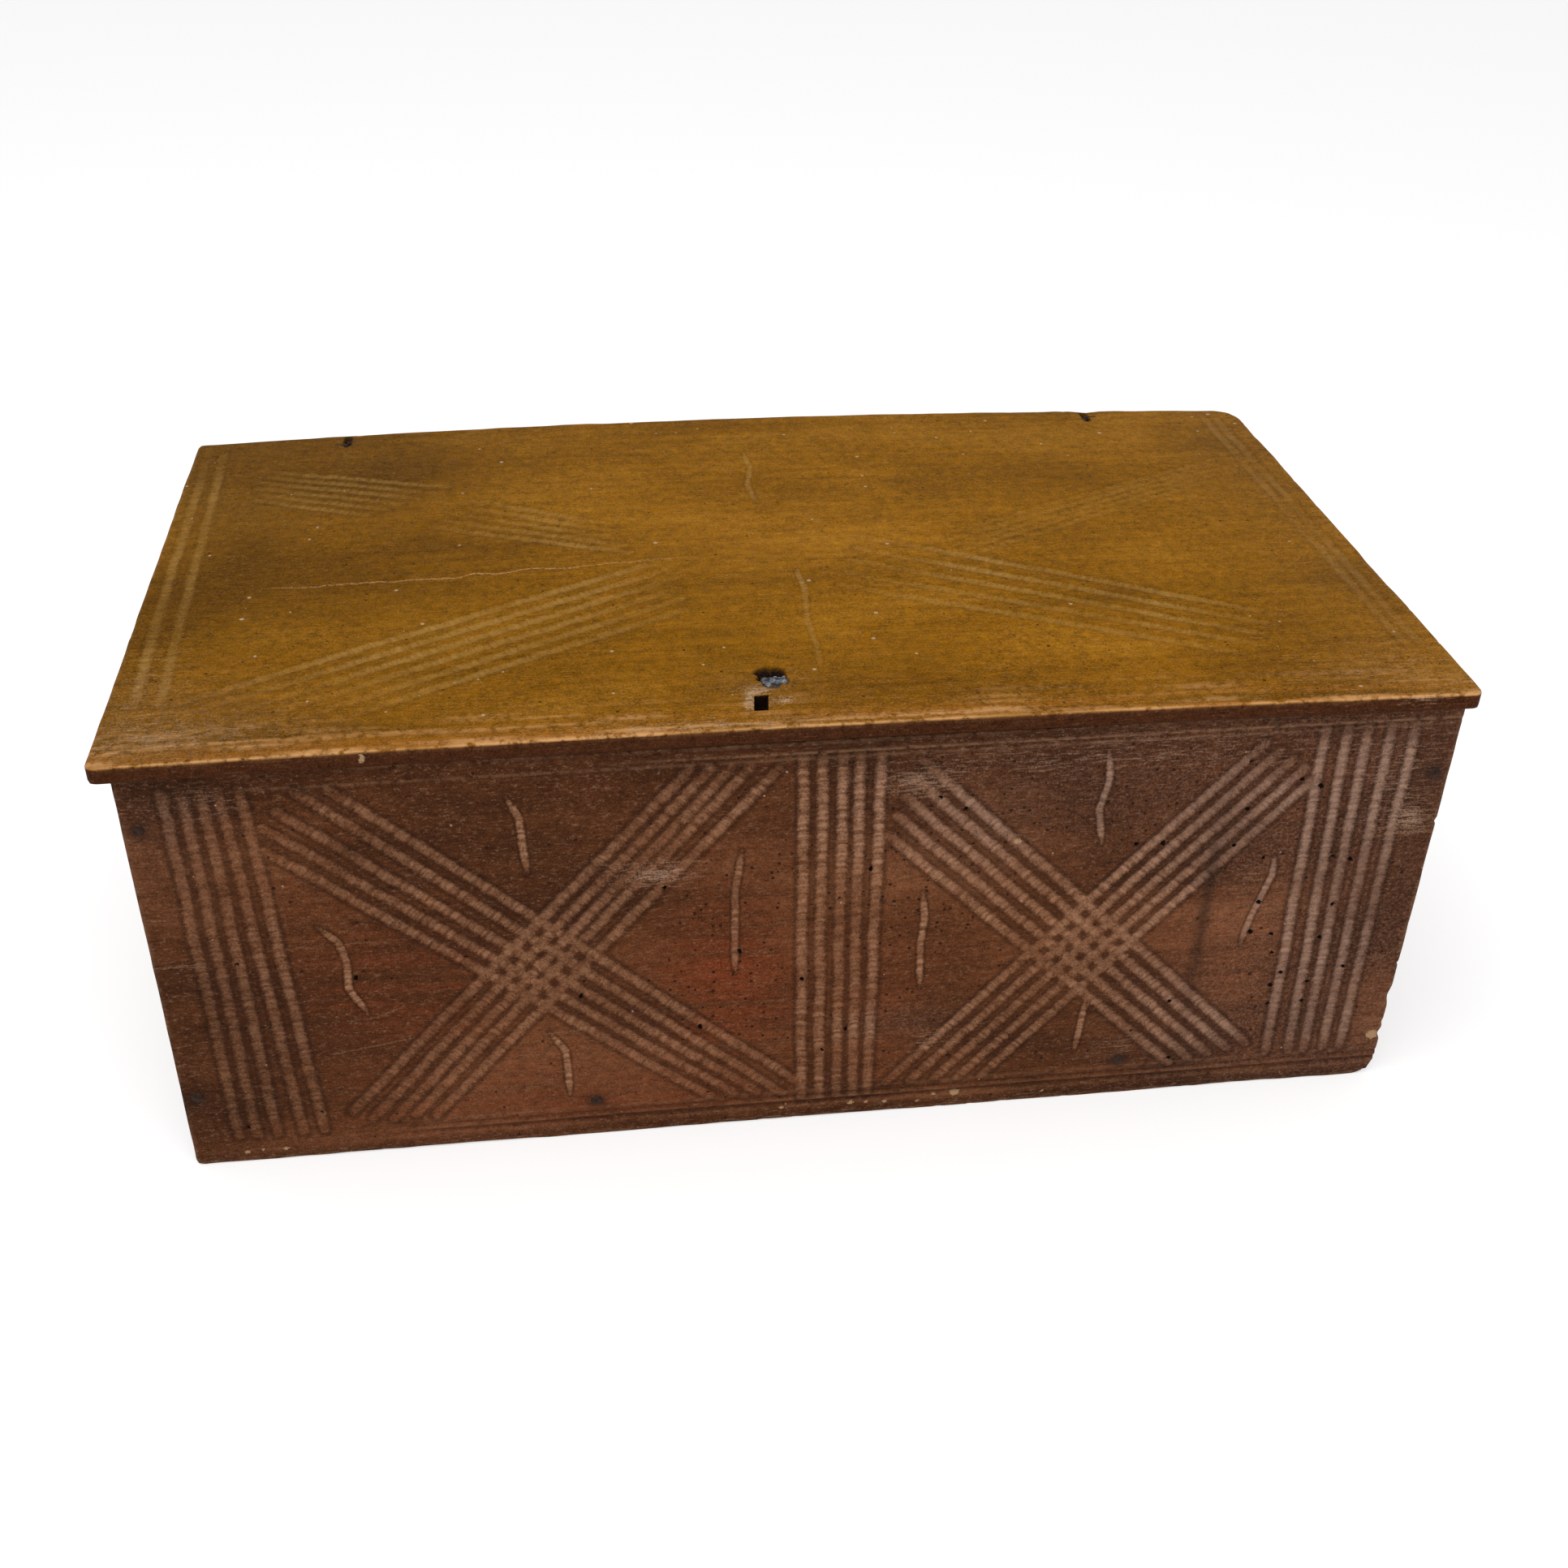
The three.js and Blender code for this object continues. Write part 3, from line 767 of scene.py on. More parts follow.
@dataclass
class Board:
    """A plank with worn arrises that stands in the place of its solid."""

    node: str
    lie: Lie
    body: str = "case"
    slot: str = "case_wood"
    pitch: float = 3.0
    arris: float = 0.9
    edge_gap: float = 0.3
    crease: float = 50.0
    seed: int = 1
    zones_u: list[Zone] = field(default_factory=list)
    zones_v: list[Zone] = field(default_factory=list)
    fixed_u: list[float] = field(default_factory=list)
    fixed_v: list[float] = field(default_factory=list)
    marks: dict[str, Array] = field(default_factory=dict)

    def __post_init__(self) -> None:
        """Reads the board's place and size off its solid."""
        low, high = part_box(self.node)
        self.low = np.array(low) / METRE
        self.high = np.array(high) / METRE
        size = self.high - self.low
        a, b, c, _ = self.lie.value
        self.length, self.width, self.thickness = size[a], size[b], size[c]

    def rows(self) -> tuple[Array, Array]:
        """Depths of the rows of wall points, and how far each stands in from the outline.

        The seen arris is rounded later. On the plain side the rows follow a quarter
        circle: depth T - a(1 - sin f), inset a(1 - cos f) for f of 0, 45 and 90 degrees.

        Returns:
            The depths and the insets.
        """
        turn = np.radians([0, 45, 90])
        a = self.arris
        inner = self.thickness - 2 * a
        depths = [0, 0.35 * a, a, a + inner * 0.3, a + inner * 0.65]
        depths = np.concatenate([depths, self.thickness - a * (1 - np.sin(turn))])
        insets = np.concatenate([np.zeros(5), a * (1 - np.cos(turn))])
        return depths, insets

    def keep(self, us: Array, vs: Array) -> Array:
        """True for every cell between the lines, as the board has no hole."""
        return np.ones((len(us) - 1, len(vs) - 1), bool)

    def edge_distance(self, u: Array, v: Array) -> Array:
        """Distance of each point from the nearest side of the outline."""
        return np.minimum(np.minimum(u, self.length - u), np.minimum(v, self.width - v))

    def arris_radius(self, u: Array, v: Array) -> Array:
        """Radius of the worn arris: the plain radius, changed by slow and quick wear.

        Args:
            u: Place along the board.
            v: Place across the board.

        Returns:
            The radius.
        """
        slow = drift(u, v, 47.0, self.seed)
        quick = drift(u, v, 9.0, self.seed + 1)
        return self.arris * np.clip(1 + 0.45 * slow + 0.35 * quick, 0.35, 2.5)

    def rounded(self, u: Array, v: Array, w: Array) -> tuple[Array, Array, Array]:
        """Rounds the arrises of the seen face.

        With q the point held at least r from every side, p goes to q + r (p - q)/|p - q|.

        Args:
            u: Place along the board.
            v: Place across the board.
            w: Depth below the seen face.

        Returns:
            The moved u, v and w.
        """
        r = self.arris_radius(u, v)
        q = np.stack([np.clip(u, r, self.length - r), np.clip(v, r, self.width - r),
                      np.maximum(w, r)])
        p = np.stack([u, v, w])
        reach = np.linalg.norm(p - q, axis=0)
        outer = (self.edge_distance(u, v) < TOUCH) | (w < TOUCH)
        moved = q + (p - q) * (r / np.maximum(reach, TINY))
        return tuple(np.where(outer & (reach > TINY), moved, p))

    def rounded_corner(self, u: Array, v: Array, right: bool, far: bool, radius: float,
                       worn: Array | float = 1.0) -> tuple[Array, Array]:
        """Rounds one corner of the board's outline.

        Inside the corner's square, a point whose larger offset is m goes to m times its
        direction, by a share that grows as m^2 to 1 at the square's outer sides.

        Args:
            u: Place along the board.
            v: Place across the board.
            right: True for a corner at the end of the length.
            far: True for a corner at the end of the width.
            radius: Radius of the corner.
            worn: What the share is multiplied by.

        Returns:
            The new places.
        """
        a = u - (self.length - radius) if right else radius - u
        b = v - (self.width - radius) if far else radius - v
        m = np.maximum(np.maximum(a, b), TINY)
        share = np.clip(m / radius, 0, 1) ** 2 * worn
        scale = 1 - share + share * m / np.maximum(np.hypot(a, b), TINY)
        inside = (a > 0) & (b > 0)
        new_u = self.length - radius + a * scale if right else radius - a * scale
        new_v = self.width - radius + b * scale if far else radius - b * scale
        return np.where(inside, new_u, u), np.where(inside, new_v, v)

    def relief(self, u: Array, v: Array) -> Array:
        """Depth of the seen face's unevenness: hand planing and small dents.

        Args:
            u: Place along the board.
            v: Place across the board.

        Returns:
            The depth.
        """
        waves = 0.12 * (1 + drift(u, v, 38.0, self.seed + 2))
        dents = 0.25 * ease((drift(u, v, 6.0, self.seed + 3) - 0.62) / 0.3)
        return waves + dents

    def warp(self, u: Array, v: Array, w: Array) -> tuple[Array, Array, Array]:
        """Bends the finished board, which is straight unless a board says otherwise."""
        return u, v, w

    def wear(self, u: Array, v: Array, w: Array) -> Array:
        """Share of worn arris tone: fades 2 mm from the arris and is broken by wear.

        Args:
            u: Place along the board.
            v: Place across the board.
            w: Depth below the seen face.

        Returns:
            The share.
        """
        from_arris = np.hypot(self.edge_distance(u, v), w)
        broken = 0.55 + 0.45 * drift(u, v, 11.0, self.seed + 4)
        return np.clip(1 - from_arris / 2.0, 0, 1) * broken

    def end_grain(self, u: Array) -> Array:
        """True on the two ends of the board, where the fibres are cut through."""
        return (u < 0.01) | (u > self.length - 0.01)

    def shade(self, u: Array, v: Array, w: Array) -> None:
        """Marks the worn arrises, patchy scuffs, end grain, dim rims and beetle specks.

        Args:
            u: Place along the board.
            v: Place across the board.
            w: Depth below the seen face.
        """
        rim = ease(1 - self.edge_distance(u, v) / 26.0)
        scuff = 0.6 * ease((drift(u, v, 23.0, self.seed + 20) - 0.2) / 0.8)
        self.marks = {
            "worn": self.wear(u, v, w), "side": 0.5 * self.end_grain(u),
            "scuff": scuff, "dim": 0.45 * rim,
            "pepper": 0.8 * ease(drift(u, v, 31.0, self.seed + 21)),
        }

    def build(self) -> bpy.types.Object:
        """Builds the board's mesh in its place.

        Returns:
            The board's object, with no finish yet.
        """
        us = graded_lines(self.length, self.pitch, self.edge_gap, self.zones_u, self.fixed_u)
        vs = graded_lines(self.width, self.pitch, self.edge_gap, self.zones_v, self.fixed_v)
        ws, insets = self.rows()
        shell = board_shell(us, vs, ws, self.keep(us, vs))
        u, v, w = shell.u, shell.v, shell.w
        self.shade(u, v, w)
        depth = self.relief(u, v) * np.clip(1 - w / 1.5, 0, 1)
        inset = insets[shell.row]
        outer = self.edge_distance(u, v) < TOUCH
        bu, bv, bw = self.rounded(u, v, w)
        bu = np.where(outer, np.clip(bu, inset, self.length - inset), bu)
        bv = np.where(outer, np.clip(bv, inset, self.width - inset), bv)
        bu, bv, bw = self.warp(bu, bv, bw + depth)
        a, b, c, way = self.lie.value
        points = np.empty((len(u), 3))
        points[:, a] = self.low[a] + bu
        points[:, b] = self.low[b] + bv
        points[:, c] = self.low[c] + bw if way > 0 else self.high[c] - bw
        obj = write_mesh(f"{self.node}_worn", points, shell.corners, shell.counts,
                         self.marks, self.crease, shell.plain_faces)
        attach(obj, self.body)
        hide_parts(self.node)
        return obj


@dataclass(frozen=True)
class Cut:
    """One pass of a gouge along a line of points (u, v).

    Fade is the length over which its ends run out, pale its share of dry tone, crisp how
    sharp its edge is, and taper how much narrower its ends are.
    """

    points: tuple[tuple[float, float], ...]
    width: float
    depth: float
    fade: float = 7.0
    pale: float = 1.0
    crisp: float = 1.0
    taper: float = 0.0


def measure_cuts(u: Array, v: Array, cuts: list[Cut], seed: int
                 ) -> tuple[Array, Array, Array, Array]:
    """Measures every point against every gouge cut.

    A cut's signed distance is half its width less the distance to its line, times how
    crisp it is. Half its width shrinks by its taper towards both ends. Its depth is
    depth * (1 - (d / half)^2), faded over the first and last few millimetres. The line
    sways sideways by a third of a millimetre. The deepest cut counts at each point.

    Args:
        u: Place along the board.
        v: Place across the board.
        cuts: The cuts.
        seed: Seed of the sway.

    Returns:
        Depth, signed distance, share of pale tone, and run: the distance along the cut.
    """
    depth, run = np.zeros_like(u), np.zeros_like(u)
    edge = np.full_like(u, -CUT_EDGE)
    pale = np.zeros_like(u)
    for number, cut in enumerate(cuts):
        line = np.array(cut.points)
        legs = np.linalg.norm(np.diff(line, axis=0), axis=1)
        passed = np.concatenate([[0], np.cumsum(legs)])
        best, place = np.full_like(u, FAR), np.zeros_like(u)
        for i, leg in enumerate(legs):
            way = (line[i + 1] - line[i]) / leg
            t = np.clip((u - line[i][0]) * way[0] + (v - line[i][1]) * way[1], 0, leg)
            sway = 0.3 * drift(t + passed[i], np.full_like(t, number * 3.7), 19.0, seed)
            off = np.hypot(u - line[i][0] - t * way[0] + sway * way[1],
                           v - line[i][1] - t * way[1] - sway * way[0])
            nearer = off < best
            best = np.where(nearer, off, best)
            place = np.where(nearer, passed[i] + t, place)
        ends = ease((np.minimum(place, passed[-1] - place) + 0.5) / cut.fade)
        half = cut.width / 2 * (1 - cut.taper * (1 - ends))
        sunk = cut.depth * np.clip(1 - (best / half) ** 2, 0, 1) * (0.35 + 0.65 * ends)
        signed = (half - best) * cut.crisp
        nearest = signed > edge
        depth = np.maximum(depth, sunk)
        edge = np.where(nearest, signed, edge)
        patchy = 0.76 + 0.3 * drift(place, np.full_like(u, number * 5.3), 13.0, seed + 6)
        patchy = patchy + 0.3 * drift(u, v, 33.0, seed + 8)
        pale = np.where(nearest, cut.pale * (0.25 + 0.75 * ends) * patchy, pale)
        run = np.where(nearest, place + 3.7 * number, run)
    return depth, edge, np.clip(pale, 0, 1), run


def measure_scratches(u: Array, v: Array, lines: Array) -> tuple[Array, Array]:
    """Measures every point against fine straight scratches.

    The signed distance is the cross product of a scratch's direction with the way from
    its start. Its share fades out over the last eighth at both ends and is 0 beyond
    1.6 mm, so that the field is exact on both sides of the scratch.

    Args:
        u: Place along the board.
        v: Place across the board.
        lines: One row for each scratch: u and v of its start, u and v of its end, share.

    Returns:
        Signed distance from the nearest scratch, and its share of pale tone.
    """
    best, signed = np.full_like(u, FAR), np.full_like(u, SCRATCH_REACH)
    share = np.zeros_like(u)
    for u0, v0, u1, v1, strength in lines:
        leg = math.hypot(u1 - u0, v1 - v0)
        way = (u1 - u0) / leg, (v1 - v0) / leg
        t = (u - u0) * way[0] + (v - v0) * way[1]
        side = (v - v0) * way[0] - (u - u0) * way[1]
        off = np.hypot(side, np.maximum(np.maximum(-t, t - leg), 0))
        ends = ease(np.minimum(t, leg - t) / (leg / 8) + 0.5)
        nearer = off < best
        best = np.where(nearer, off, best)
        signed = np.where(nearer, np.clip(side, -SCRATCH_REACH, SCRATCH_REACH), signed)
        share = np.where(nearer, strength * ends * (off < SCRATCH_REACH), share)
    return signed, share


@dataclass
class CarvedFront(Board):
    """The front plank with its three bands of flutes, two saltires, gouge flicks and mouldings."""

    flute_width: float = 3.5
    flute_depth: float = 0.5
    flick_width: float = 2.4
    flick_depth: float = 0.4
    sharp_line: float = 7.8
    shallow_line: float = 10.9
    top_line: float = 159.6
    hole_reach: float = 2.4
    hole_radius: float = 1.1
    hole_depth: float = 1.6
    face_depth: float = 2.0

    BAND_TOPS = ((0.0323, 0.0459, 0.0591, 0.0709, 0.0855),
                 (0.4891, 0.5035, 0.5189, 0.5317, 0.5480),
                 (0.8909, 0.9086, 0.9249, 0.9439, 0.9635))
    BAND_FEET = ((0.0377, 0.0518, 0.0677, 0.0882, 0.1045),
                 (0.4945, 0.5094, 0.5244, 0.5380, 0.5507),
                 (0.8982, 0.9182, 0.9325, 0.9494, 0.9648))
    BAND_HEIGHTS = ((0.962, 0.075), (0.965, 0.06), (0.962, 0.09))
    SALTIRES = (
        ((0.0946, 0.821, 0.418, 0.088), (0.097, 0.872, 0.439, 0.088),
         (0.109, 0.907, 0.458, 0.088), (0.124, 0.949, 0.479, 0.080),
         (0.148, 0.949, 0.492, 0.109)),
        ((0.129, 0.123, 0.405, 0.949), (0.145, 0.101, 0.4205, 0.949),
         (0.161, 0.093, 0.436, 0.949), (0.179, 0.101, 0.450, 0.949),
         (0.195, 0.093, 0.471, 0.941)),
        ((0.556, 0.765, 0.813, 0.080), (0.562, 0.811, 0.8295, 0.091),
         (0.568, 0.855, 0.846, 0.101), (0.574, 0.900, 0.8625, 0.112),
         (0.5795, 0.941, 0.879, 0.123)),
        ((0.566, 0.088, 0.8445, 0.936), (0.5865, 0.088, 0.857, 0.915),
         (0.607, 0.088, 0.869, 0.892), (0.6275, 0.088, 0.880, 0.868),
         (0.648, 0.088, 0.890, 0.843)),
    )
    FLICKS = (
        ((0.272, 0.912), (0.280, 0.860), (0.281, 0.800), (0.283, 0.722)),
        ((0.1237, 0.630), (0.138, 0.585), (0.1423, 0.531), (0.1407, 0.461), (0.1529, 0.390)),
        ((0.4444, 0.750), (0.4391, 0.644), (0.4391, 0.433)),
        ((0.2907, 0.306), (0.3028, 0.249), (0.3039, 0.122)),
        ((0.7215, 0.940), (0.7253, 0.870), (0.7200, 0.799), (0.7268, 0.708)),
        ((0.5859, 0.616), (0.5890, 0.545), (0.5875, 0.475), (0.5901, 0.355)),
        ((0.8694, 0.651), (0.8710, 0.602), (0.8604, 0.489), (0.8562, 0.411)),
        ((0.7306, 0.292), (0.7290, 0.221), (0.7268, 0.136)),
    )

    # Chips of bare wood: u, v and size.
    CHIPS = (
        (236.4, 5.6, 1.4), (242.2, 5.4, 1.0), (249.2, 5.0, 1.2), (261.6, 3.9, 0.9),
        (267.8, 6.6, 0.9), (275.7, 6.6, 2.2), (210.5, 5.8, 1.1), (309.6, 3.9, 0.8),
        (18.2, 4.6, 1.3), (23.6, 5.2, 0.9), (31.7, 5.0, 1.3), (289.7, 120.0, 1.6),
        (436.9, 19.6, 3.4),
    )

    # Wormholes, in shares of the length and width.
    HOLES = (
        (0.1046, 0.124), (0.0459, 0.0995),
        (0.061, 0.541), (0.147, 0.488), (0.231, 0.523), (0.317, 0.397), (0.385, 0.666),
        (0.411, 0.289), (0.443, 0.488), (0.493, 0.400), (0.511, 0.196), (0.521, 0.608),
        (0.530, 0.253), (0.544, 0.681), (0.595, 0.849), (0.615, 0.819), (0.618, 0.154),
        (0.754, 0.703), (0.776, 0.699), (0.775, 0.183), (0.804, 0.263), (0.812, 0.093),
        (0.835, 0.682), (0.836, 0.892), (0.840, 0.774), (0.861, 0.646), (0.865, 0.526),
        (0.863, 0.446), (0.870, 0.328), (0.880, 0.841), (0.881, 0.437), (0.885, 0.384),
        (0.891, 0.236), (0.890, 0.289), (0.897, 0.821), (0.897, 0.323), (0.918, 0.741),
        (0.919, 0.638), (0.921, 0.237), (0.922, 0.293), (0.924, 0.418), (0.929, 0.506),
        (0.935, 0.627), (0.951, 0.328),
    )

    # Scratches: both ends in shares of the length and width, and their share of tone.
    SCRATCHES = (
        (0.121, 0.288, 0.180, 0.315, 0.8), (0.138, 0.379, 0.160, 0.379, 0.5),
        (0.158, 0.379, 0.177, 0.402, 0.7), (0.287, 0.301, 0.329, 0.308, 0.7),
        (0.254, 0.245, 0.293, 0.245, 0.5), (0.338, 0.733, 0.420, 0.730, 0.7),
        (0.641, 0.747, 0.661, 0.745, 0.8), (0.789, 0.521, 0.875, 0.520, 0.5),
        (0.861, 0.186, 0.895, 0.186, 0.4), (0.955, 0.748, 1.000, 0.745, 0.9),
        (0.962, 0.716, 1.000, 0.722, 0.8), (0.958, 0.689, 1.000, 0.687, 0.9),
        (0.004, 0.667, 0.018, 0.665, 0.9), (0.000, 0.547, 0.040, 0.545, 0.6),
        (0.088, 0.575, 0.190, 0.580, 0.3), (0.558, 0.868, 0.612, 0.878, 0.7),
        (0.562, 0.893, 0.604, 0.889, 0.6), (0.545, 0.216, 0.563, 0.212, 0.6),
        (0.566, 0.912, 0.598, 0.908, 0.7), (0.570, 0.850, 0.600, 0.858, 0.5),
        (0.960, 0.702, 0.998, 0.703, 0.7), (0.966, 0.733, 1.000, 0.731, 0.7),
        (0.357, 0.712, 0.402, 0.709, 0.6), (0.352, 0.690, 0.388, 0.688, 0.5),
    )

    # Rounded lower corners: at the right or not, and radius.
    CORNERS = ((True, 9.0), (False, 3.2))

    # Nicks in the right edge: v, how far they reach up and down it, and depth.
    NICKS = ((38.5, 5.5, 0.9), (20.0, 3.2, 1.1), (25.5, 2.0, 0.4), (118.0, 1.6, 0.7),
             (54.0, 1.4, 0.5))

    # Soft patches of each mark: gain, centre in shares of the length and width, two sizes.
    PATCHES = {
        "stain_and_shade": ((0.6, 0.82, 0.5, 2.5, 42.0), (0.7, 0.0107, 0.88, 4.2, 3.6),
                  (0.7, 0.009, 0.194, 4.2, 3.6), (0.7, 0.987, 0.838, 4.2, 3.6),
                  (0.7, 0.325, 0.098, 4.2, 3.6), (0.7, 0.767, 0.104, 4.2, 3.6)),
        "scuff": ((0.55, 0.978, 0.72, 8.0, 6.0), (0.8, 0.38, 0.70, 15.0, 5.0),
                  (0.6, 0.575, 0.89, 13.0, 6.0), (0.3, 0.7, 0.93, 60.0, 7.0),
                  (0.4, 0.76, 0.14, 12.0, 6.0), (0.5, 0.6, 0.2, 8.0, 6.0),
                  (0.18, 0.78, 0.93, 80.0, 20.0), (0.5, 0.96, 0.82, 14.0, 22.0),
                  (0.3, 0.06, 0.94, 14.0, 8.0), (0.5, 0.02, 0.55, 6.0, 3.0),
                  (0.4, 0.85, 0.6, 6.0, 5.0)),
        "warm": ((0.9, 0.43, 0.40, 22.0, 30.0), (0.35, 0.17, 0.45, 34.0, 30.0),
                 (0.4, 0.3, 0.1, 60.0, 20.0), (0.3, 0.55, 0.3, 20.0, 30.0)),
        "dry": ((0.45, 0.69, 0.84, 60.0, 26.0), (0.3, 0.02, 0.9, 14.0, 20.0),
                (0.4, 0.58, 0.27, 14.0, 9.0)),
        "dim": ((0.5, 0.0, 0.15, 30.0, 30.0), (0.5, 0.30, 0.85, 50.0, 22.0),
                (0.75, 0.98, 0.85, 16.0, 22.0), (0.45, 0.69, 0.78, 40.0, 24.0),
                (0.3, 0.03, 0.8, 16.0, 40.0), (0.4, 0.67, 0.14, 14.0, 12.0),
                (-0.5, 0.22, 0.42, 22.0, 26.0), (0.55, 0.69, 0.88, 40.0, 22.0),
                (0.75, 0.985, 0.62, 14.0, 34.0), (0.15, 0.3, 0.12, 60.0, 20.0),
                (0.5, 0.0, 0.5, 18.0, 60.0), (0.25, 0.07, 0.5, 16.0, 70.0),
                (-1.0, 0.84, 0.33, 22.0, 30.0)),
        "pepper": ((0.8, 0.43, 0.45, 26.0, 50.0), (0.8, 0.57, 0.55, 36.0, 50.0),
                   (1.0, 0.75, 0.8, 70.0, 24.0), (0.3, 0.9, 0.4, 30.0, 50.0)),
    }

    def __post_init__(self) -> None:
        """Sets closer lattice lines along the mouldings."""
        super().__post_init__()
        self.zones_v = [Zone(5.5, 15.0, 0.5), Zone(158.5, 161.8, 0.5)]

    def cuts(self) -> list[Cut]:
        """Lists every gouge pass of the front.

        Returns:
            The cuts.
        """
        size = np.array([self.length, self.width])

        def line(*shares: tuple[float, float]) -> tuple[tuple[float, float], ...]:
            """Places of a line given in shares of the length and width."""
            return tuple(tuple(np.array(s) * size) for s in shares)

        cut = partial(Cut, width=self.flute_width, depth=self.flute_depth)
        found = []
        for tops, feet, (high, low) in zip(self.BAND_TOPS, self.BAND_FEET, self.BAND_HEIGHTS):
            for top, foot in zip(tops, feet):
                pale = 0.4 + 0.62 * min(1.0, top / 0.5)
                found.append(cut(line((top, high), (foot, low)), fade=9.0, pale=pale))
        for a, b, c, d in (row for rows in self.SALTIRES for row in rows):
            pale = 0.56 + 0.48 * min(1.0, a / 0.5)
            found.append(cut(line((a, b), (c, d)), fade=14.0, pale=pale))
        for points in self.FLICKS:
            found.append(Cut(line(*points), self.flick_width, self.flick_depth,
                             fade=7.0, pale=1.3, crisp=1.9, taper=0.6))
        return found

    def moulded(self, u: Array) -> Array:
        """Share of the bottom mouldings, which fade in over 60 mm from 45 mm on."""
        return ease((u - 45.0) / 60.0)

    def moulding(self, u: Array, v: Array) -> Array:
        """Depth of the scratched moulding: grooves along the bottom, one line at the top.

        Args:
            u: Place along the board.
            v: Place across the board.

        Returns:
            The depth.
        """
        low = v - 0.4 * drift(u, v * 0, 60.0, self.seed + 7)
        shallow = 0.5 * stripe(low, self.shallow_line, 0.9)
        sharp = 0.7 * stripe(low, self.sharp_line, 1.1)
        top = 0.35 * stripe(v, self.top_line, 0.9) * ease((u - 120.0) / 60.0)
        return np.maximum(shallow, sharp) * self.moulded(u) + top

    def relief(self, u: Array, v: Array) -> Array:
        """Depth of the carving over the plank's own unevenness.

        Args:
            u: Place along the board.
            v: Place across the board.

        Returns:
            The depth.
        """
        carved, *_ = measure_cuts(u, v, self.cuts(), self.seed)
        carved = np.maximum(carved, self.moulding(u, v)) + super().relief(u, v) * 0.8
        return carved + self.hole_depth * self.bored(u, v)

    def warp(self, u: Array, v: Array, w: Array) -> tuple[Array, Array, Array]:
        """Rounds both lower corners of the face, unevenly, and nicks its right edge.

        Args:
            u: Place along the board.
            v: Place across the board.
            w: Depth below the seen face.

        Returns:
            The moved u, v and w.
        """
        for right, radius in self.CORNERS:
            worn = 0.85 + 0.15 * drift(u, v, 2.5, self.seed + 9)
            u, v = self.rounded_corner(u, v, right, False, radius, worn)
        for place, reach, depth in self.NICKS:
            bite = depth * ease(1 - np.abs(v - place) / reach)
            u = u - bite * ease(1 - (self.length - u) / 6.0)
        return u, v, w

    def shade(self, u: Array, v: Array, w: Array) -> None:
        """Marks the cuts, wormholes, stains, scuffs, mouldings and tints of the front,
        with painted shadow under the lid and in the grooves and painted highlights on the
        moulding.

        Args:
            u: Place along the board.
            v: Place across the board.
            w: Depth below the seen face.
        """
        front = w < self.face_depth
        _, edge, pale, run = measure_cuts(u, v, self.cuts(), self.seed)
        size, moulded = (self.length, self.width), self.moulded(u)
        soft = {mark: patches(u, v, rows, size) for mark, rows in self.PATCHES.items()}
        # Painted shade in the two bottom grooves, laid in the dark tone of the iron stains.
        grooves = 0.5 * stripe(v, self.sharp_line, 1.0) + 0.35 * stripe(v, self.shallow_line, 0.8)
        soft["stain_and_shade"] += moulded * grooves
        soft["scuff"] += 0.2 + 0.3 * ease(1 - v / 5.0)
        soft["dry"] += 0.5 * ease((u - 300.0) / 120.0)
        # Painted shadow of the lid: darker over the top 20 mm of the front, darkest in the 1.5 mm
        # under the lid's edge.
        soft["dim"] += 0.6 * ease((v - 142.0) / 18.0) + 0.7 * ease((v - 162.4) / 1.4)
        # Darker towards the bottom edge, more where the mouldings run.
        soft["dim"] += 0.5 * ease(1 - v / 8.0) * moulded + 0.85 * ease(1 - v / 9.0)
        chips = [(1.1, x, z, reach, 0.75 * reach) for x, z, reach in self.CHIPS]
        # Painted highlights: pale lines beside the top groove and on the ridges between the bottom
        # grooves, laid as worn arris tone.
        top_line = stripe(v, 160.6, 0.8) * ease((u - 140.0) / 60.0)
        lower = 0.5 * ease((u - 30.0) / 20.0) * stripe(v, 158.4, 0.8)
        top_line = np.maximum(top_line, lower)
        moulding_highlight = np.maximum(0.55 * stripe(v, 13.3, 1.0), 0.7 * stripe(v, 9.3, 0.7))
        moulding_highlight = moulded * np.maximum(moulding_highlight, 0.55 * stripe(v, 6.0, 0.9))
        lines = np.array(self.SCRATCHES) * (size * 2 + (1.0,))
        crack, crack_share = measure_scratches(u, v, lines)
        self.marks = {mark: np.clip(values, 0, 1) for mark, values in soft.items()}
        self.marks["scuff"] *= front
        self.marks |= {
            "cut": np.where(front, np.clip(edge + CUT_EDGE, 0, 6), 0), "pale": pale * front,
            "run": run, "side": 0.5 * self.end_grain(u), "dim": np.clip(soft["dim"], -0.7, 1),
            # The worn mark holds real arris wear and the painted highlights of the moulding.
            "worn": np.maximum(0.5 * self.wear(u, v, w), 0.6 * top_line + 0.35 * moulding_highlight),
            "chip": np.clip(patches(u, v, chips), 0, 1), "crack": crack,
            "crack_share": crack_share * front, "hole": self.off_holes(u, v),
            "bored": front * 1.0,
        }

    def off_holes(self, u: Array, v: Array) -> Array:
        """Rows (du, dv, 0) from the wormhole within reach of a point, else (0, 0, 9).

        Args:
            u: Place along the board.
            v: Place across the board.

        Returns:
            One row for each point.
        """
        away = np.zeros((len(u), 3))
        away[:, 2] = 9.0
        for x, z in self.HOLES:
            du, dv = u - x * self.length, v - z * self.width
            near = np.hypot(du, dv) < self.hole_reach
            away[near] = np.stack([du, dv, np.zeros_like(u)], 1)[near]
        return away

